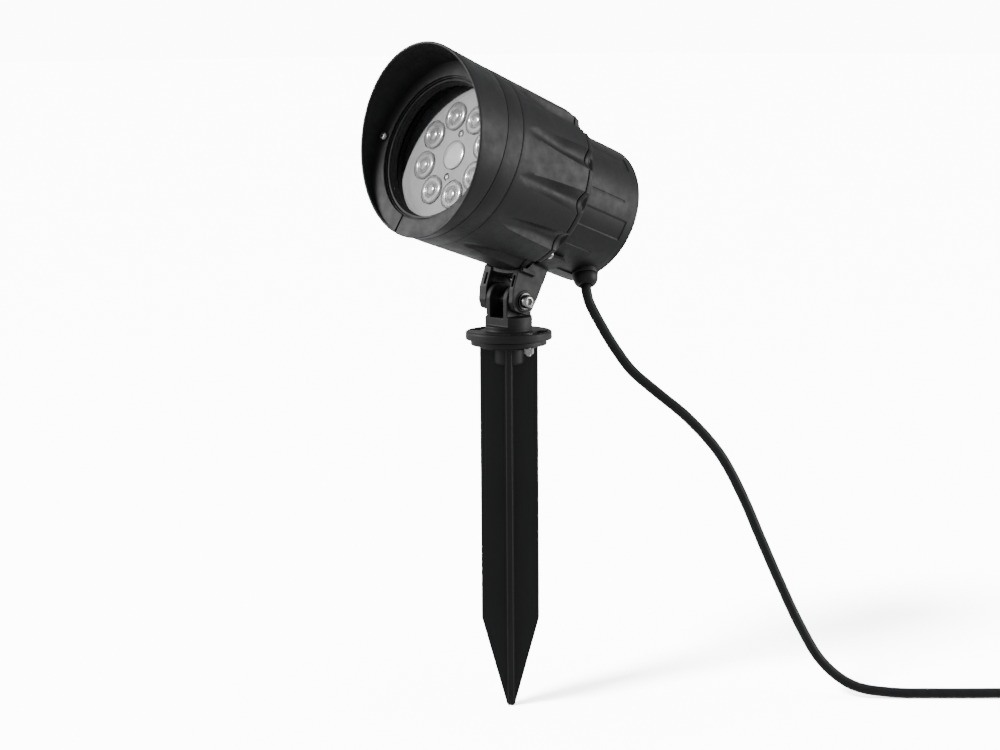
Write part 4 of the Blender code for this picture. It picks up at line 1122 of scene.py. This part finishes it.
def build_small_screws():
    ridge = FLUTE_START + math.pi / FLUTES
    for k in range(3):
        angle = ridge + math.tau * k / 3
        make_screw(f"cover_screw_{k + 1}", polar(angle, 47.6, -5.5), Vector((0, 0, -1)),
                   2.7, 2.4, 1.4, 13.5, "head", spin=0.2 * k)
    for name, angle in (("r", HEAD_TURN + math.pi / 2), ("l", HEAD_TURN - math.pi / 2)):
        make_screw(f"visor_screw_{name}", polar(angle, 47.4, 75.0), Vector((0, 0, 1)),
                   2.8, 2.0, 1.5, 9.5, "head", "cross", 0.5)
    for name, angle in (("top", HEAD_TURN), ("bottom", HEAD_TURN + math.pi)):
        make_screw(f"plate_screw_{name}", polar(angle, PLATE_SCREW_PITCH, 58.8),
                   Vector((0, 0, 1)), 1.5, 1.0, 1.0, 2.8, "head", "cross", 0.3)


# ---- floor and light ----
FLOOR_WASH, FLOOR_KEY = 17.0, 36.0
ROOM_LIGHT, ROOM_BEHIND, BACKDROP = 0.40, 1.2, 14.0
OPTICS_KEY, OPTICS_DIRECTION = 9.3, Vector((-0.508, 0.24, 1))


def build_floor():
    bm = bmesh.new()
    bmesh.ops.create_grid(bm, x_segments=2, y_segments=2, size=30)
    mesh = bpy.data.meshes.new("studio_floor")
    bm.to_mesh(mesh)
    bm.free()
    floor = bpy.data.objects.new("studio_floor", mesh)
    COLLECTION.objects.link(floor)
    look = Look("studio_white", 0.9, Specular_IOR_Level=0.1)
    look.colour(look.ramp(look.noise(2, 2), 0.2, 0.8, (0.93, 0.93, 0.93), (0.95, 0.95, 0.95)))
    mesh.materials.append(look.material)
    floor.visible_diffuse = False
    floor.visible_glossy = False
    only_floor = bpy.data.collections.new("only_floor")
    only_floor.objects.link(floor)
    return only_floor


def aimed_lamp(name, kind, spot, aim, power, receiver=None):
    data = bpy.data.lights.new(name, kind)
    data.energy = power
    lamp = bpy.data.objects.new(name, data)
    COLLECTION.objects.link(lamp)
    lamp.location = spot
    lamp.rotation_mode = "QUATERNION"
    lamp.rotation_quaternion = (Vector(aim) - Vector(spot)).to_track_quat("-Z", "Y")
    if receiver:
        lamp.light_linking.receiver_collection = receiver
    return lamp


def softbox(name, spot, aim, width, height, power):
    data = aimed_lamp(name, "AREA", spot, aim, power).data
    data.shape = "RECTANGLE"
    data.size, data.size_y = width, height


def light_optics(pieces):
    """A small hard light over the hood's upper edge, on the plate and the lenses alone."""
    only_optics = bpy.data.collections.new("only_optics")
    blockers = bpy.data.collections.new("optics_blockers")
    for piece in pieces:
        only_optics.objects.link(piece)
        blockers.objects.link(piece)
    blockers.objects.link(bpy.data.objects["visor_hood"])
    middle = Vector((0, 0, PLATE_FRONT))
    spot = HEAD @ (middle + 800 * OPTICS_DIRECTION)
    lamp = aimed_lamp("optics_key", "SUN", spot, HEAD @ middle, OPTICS_KEY, only_optics)
    lamp.light_linking.blocker_collection = blockers
    lamp.data.angle = math.radians(1.5)


def build_studio(right, back):
    """Two softboxes at the sides, a dim room, and separate lamps that whiten the floor."""
    only_floor = build_floor()
    middle = Vector((0, 0, 0.28))
    side = Vector((right.x, right.y, 0)).normalized()
    near = Vector((back.x, back.y, 0)).normalized()
    up = Vector((0, 0, 1))
    softbox("right_box", middle + 1.3 * side + 0.02 * near + 0.10 * up, middle, 0.70, 0.75, 9)
    softbox("left_box", middle - 1.3 * side - 0.05 * near + 0.45 * up, middle, 0.90, 0.80, 14)
    wash = aimed_lamp("floor_wash", "SUN", (0, 0, 3), (0, 0, 0), FLOOR_WASH, only_floor).data
    wash.use_shadow = False
    wash.angle = 1.0
    spot = middle - 1.6 * side + 1.3 * near + 1.9 * up
    cast_light = aimed_lamp("floor_key", "SUN", spot, middle, FLOOR_KEY, only_floor).data
    cast_light.angle = math.radians(15)
    world = bpy.data.worlds.new("studio")
    world.use_nodes = True
    nodes, links = world.node_tree.nodes, world.node_tree.links
    room = nodes["Background"]
    room.inputs["Color"].default_value = (0.97, 0.98, 1.0, 1)
    direction = nodes.new("ShaderNodeTexCoord").outputs["Generated"]
    toward = nodes.new("ShaderNodeVectorMath")
    toward.operation = "DOT_PRODUCT"
    toward.inputs[1].default_value = (-0.72 * near - 0.69 * up).normalized()
    links.new(direction, toward.inputs[0])
    rise = nodes.new("ShaderNodeMapRange")
    rise.interpolation_type = "SMOOTHSTEP"
    for socket, value in zip(("From Min", "From Max", "To Min", "To Max"),
                             (0.25, 0.95, ROOM_LIGHT, ROOM_BEHIND)):
        rise.inputs[socket].default_value = value
    links.new(toward.outputs["Value"], rise.inputs["Value"])
    links.new(rise.outputs["Result"], room.inputs["Strength"])
    white = nodes.new("ShaderNodeBackground")
    white.inputs["Strength"].default_value = BACKDROP
    path = nodes.new("ShaderNodeLightPath")
    mix = nodes.new("ShaderNodeMixShader")
    links.new(path.outputs["Is Camera Ray"], mix.inputs[0])
    links.new(room.outputs["Background"], mix.inputs[1])
    links.new(white.outputs["Background"], mix.inputs[2])
    links.new(mix.outputs["Shader"], nodes["World Output"].inputs["Surface"])
    bpy.context.scene.world = world


build_housing()
build_cover()
build_bezel()
build_visor()
build_glass()
optics = build_light_engine()
build_yoke()
build_pivot()
build_swivel()
build_stake()
build_clamps()
build_gland()
build_small_screws()
build_cord()
dress_nodes()
build_studio(right_axis, back_axis)
light_optics(optics)
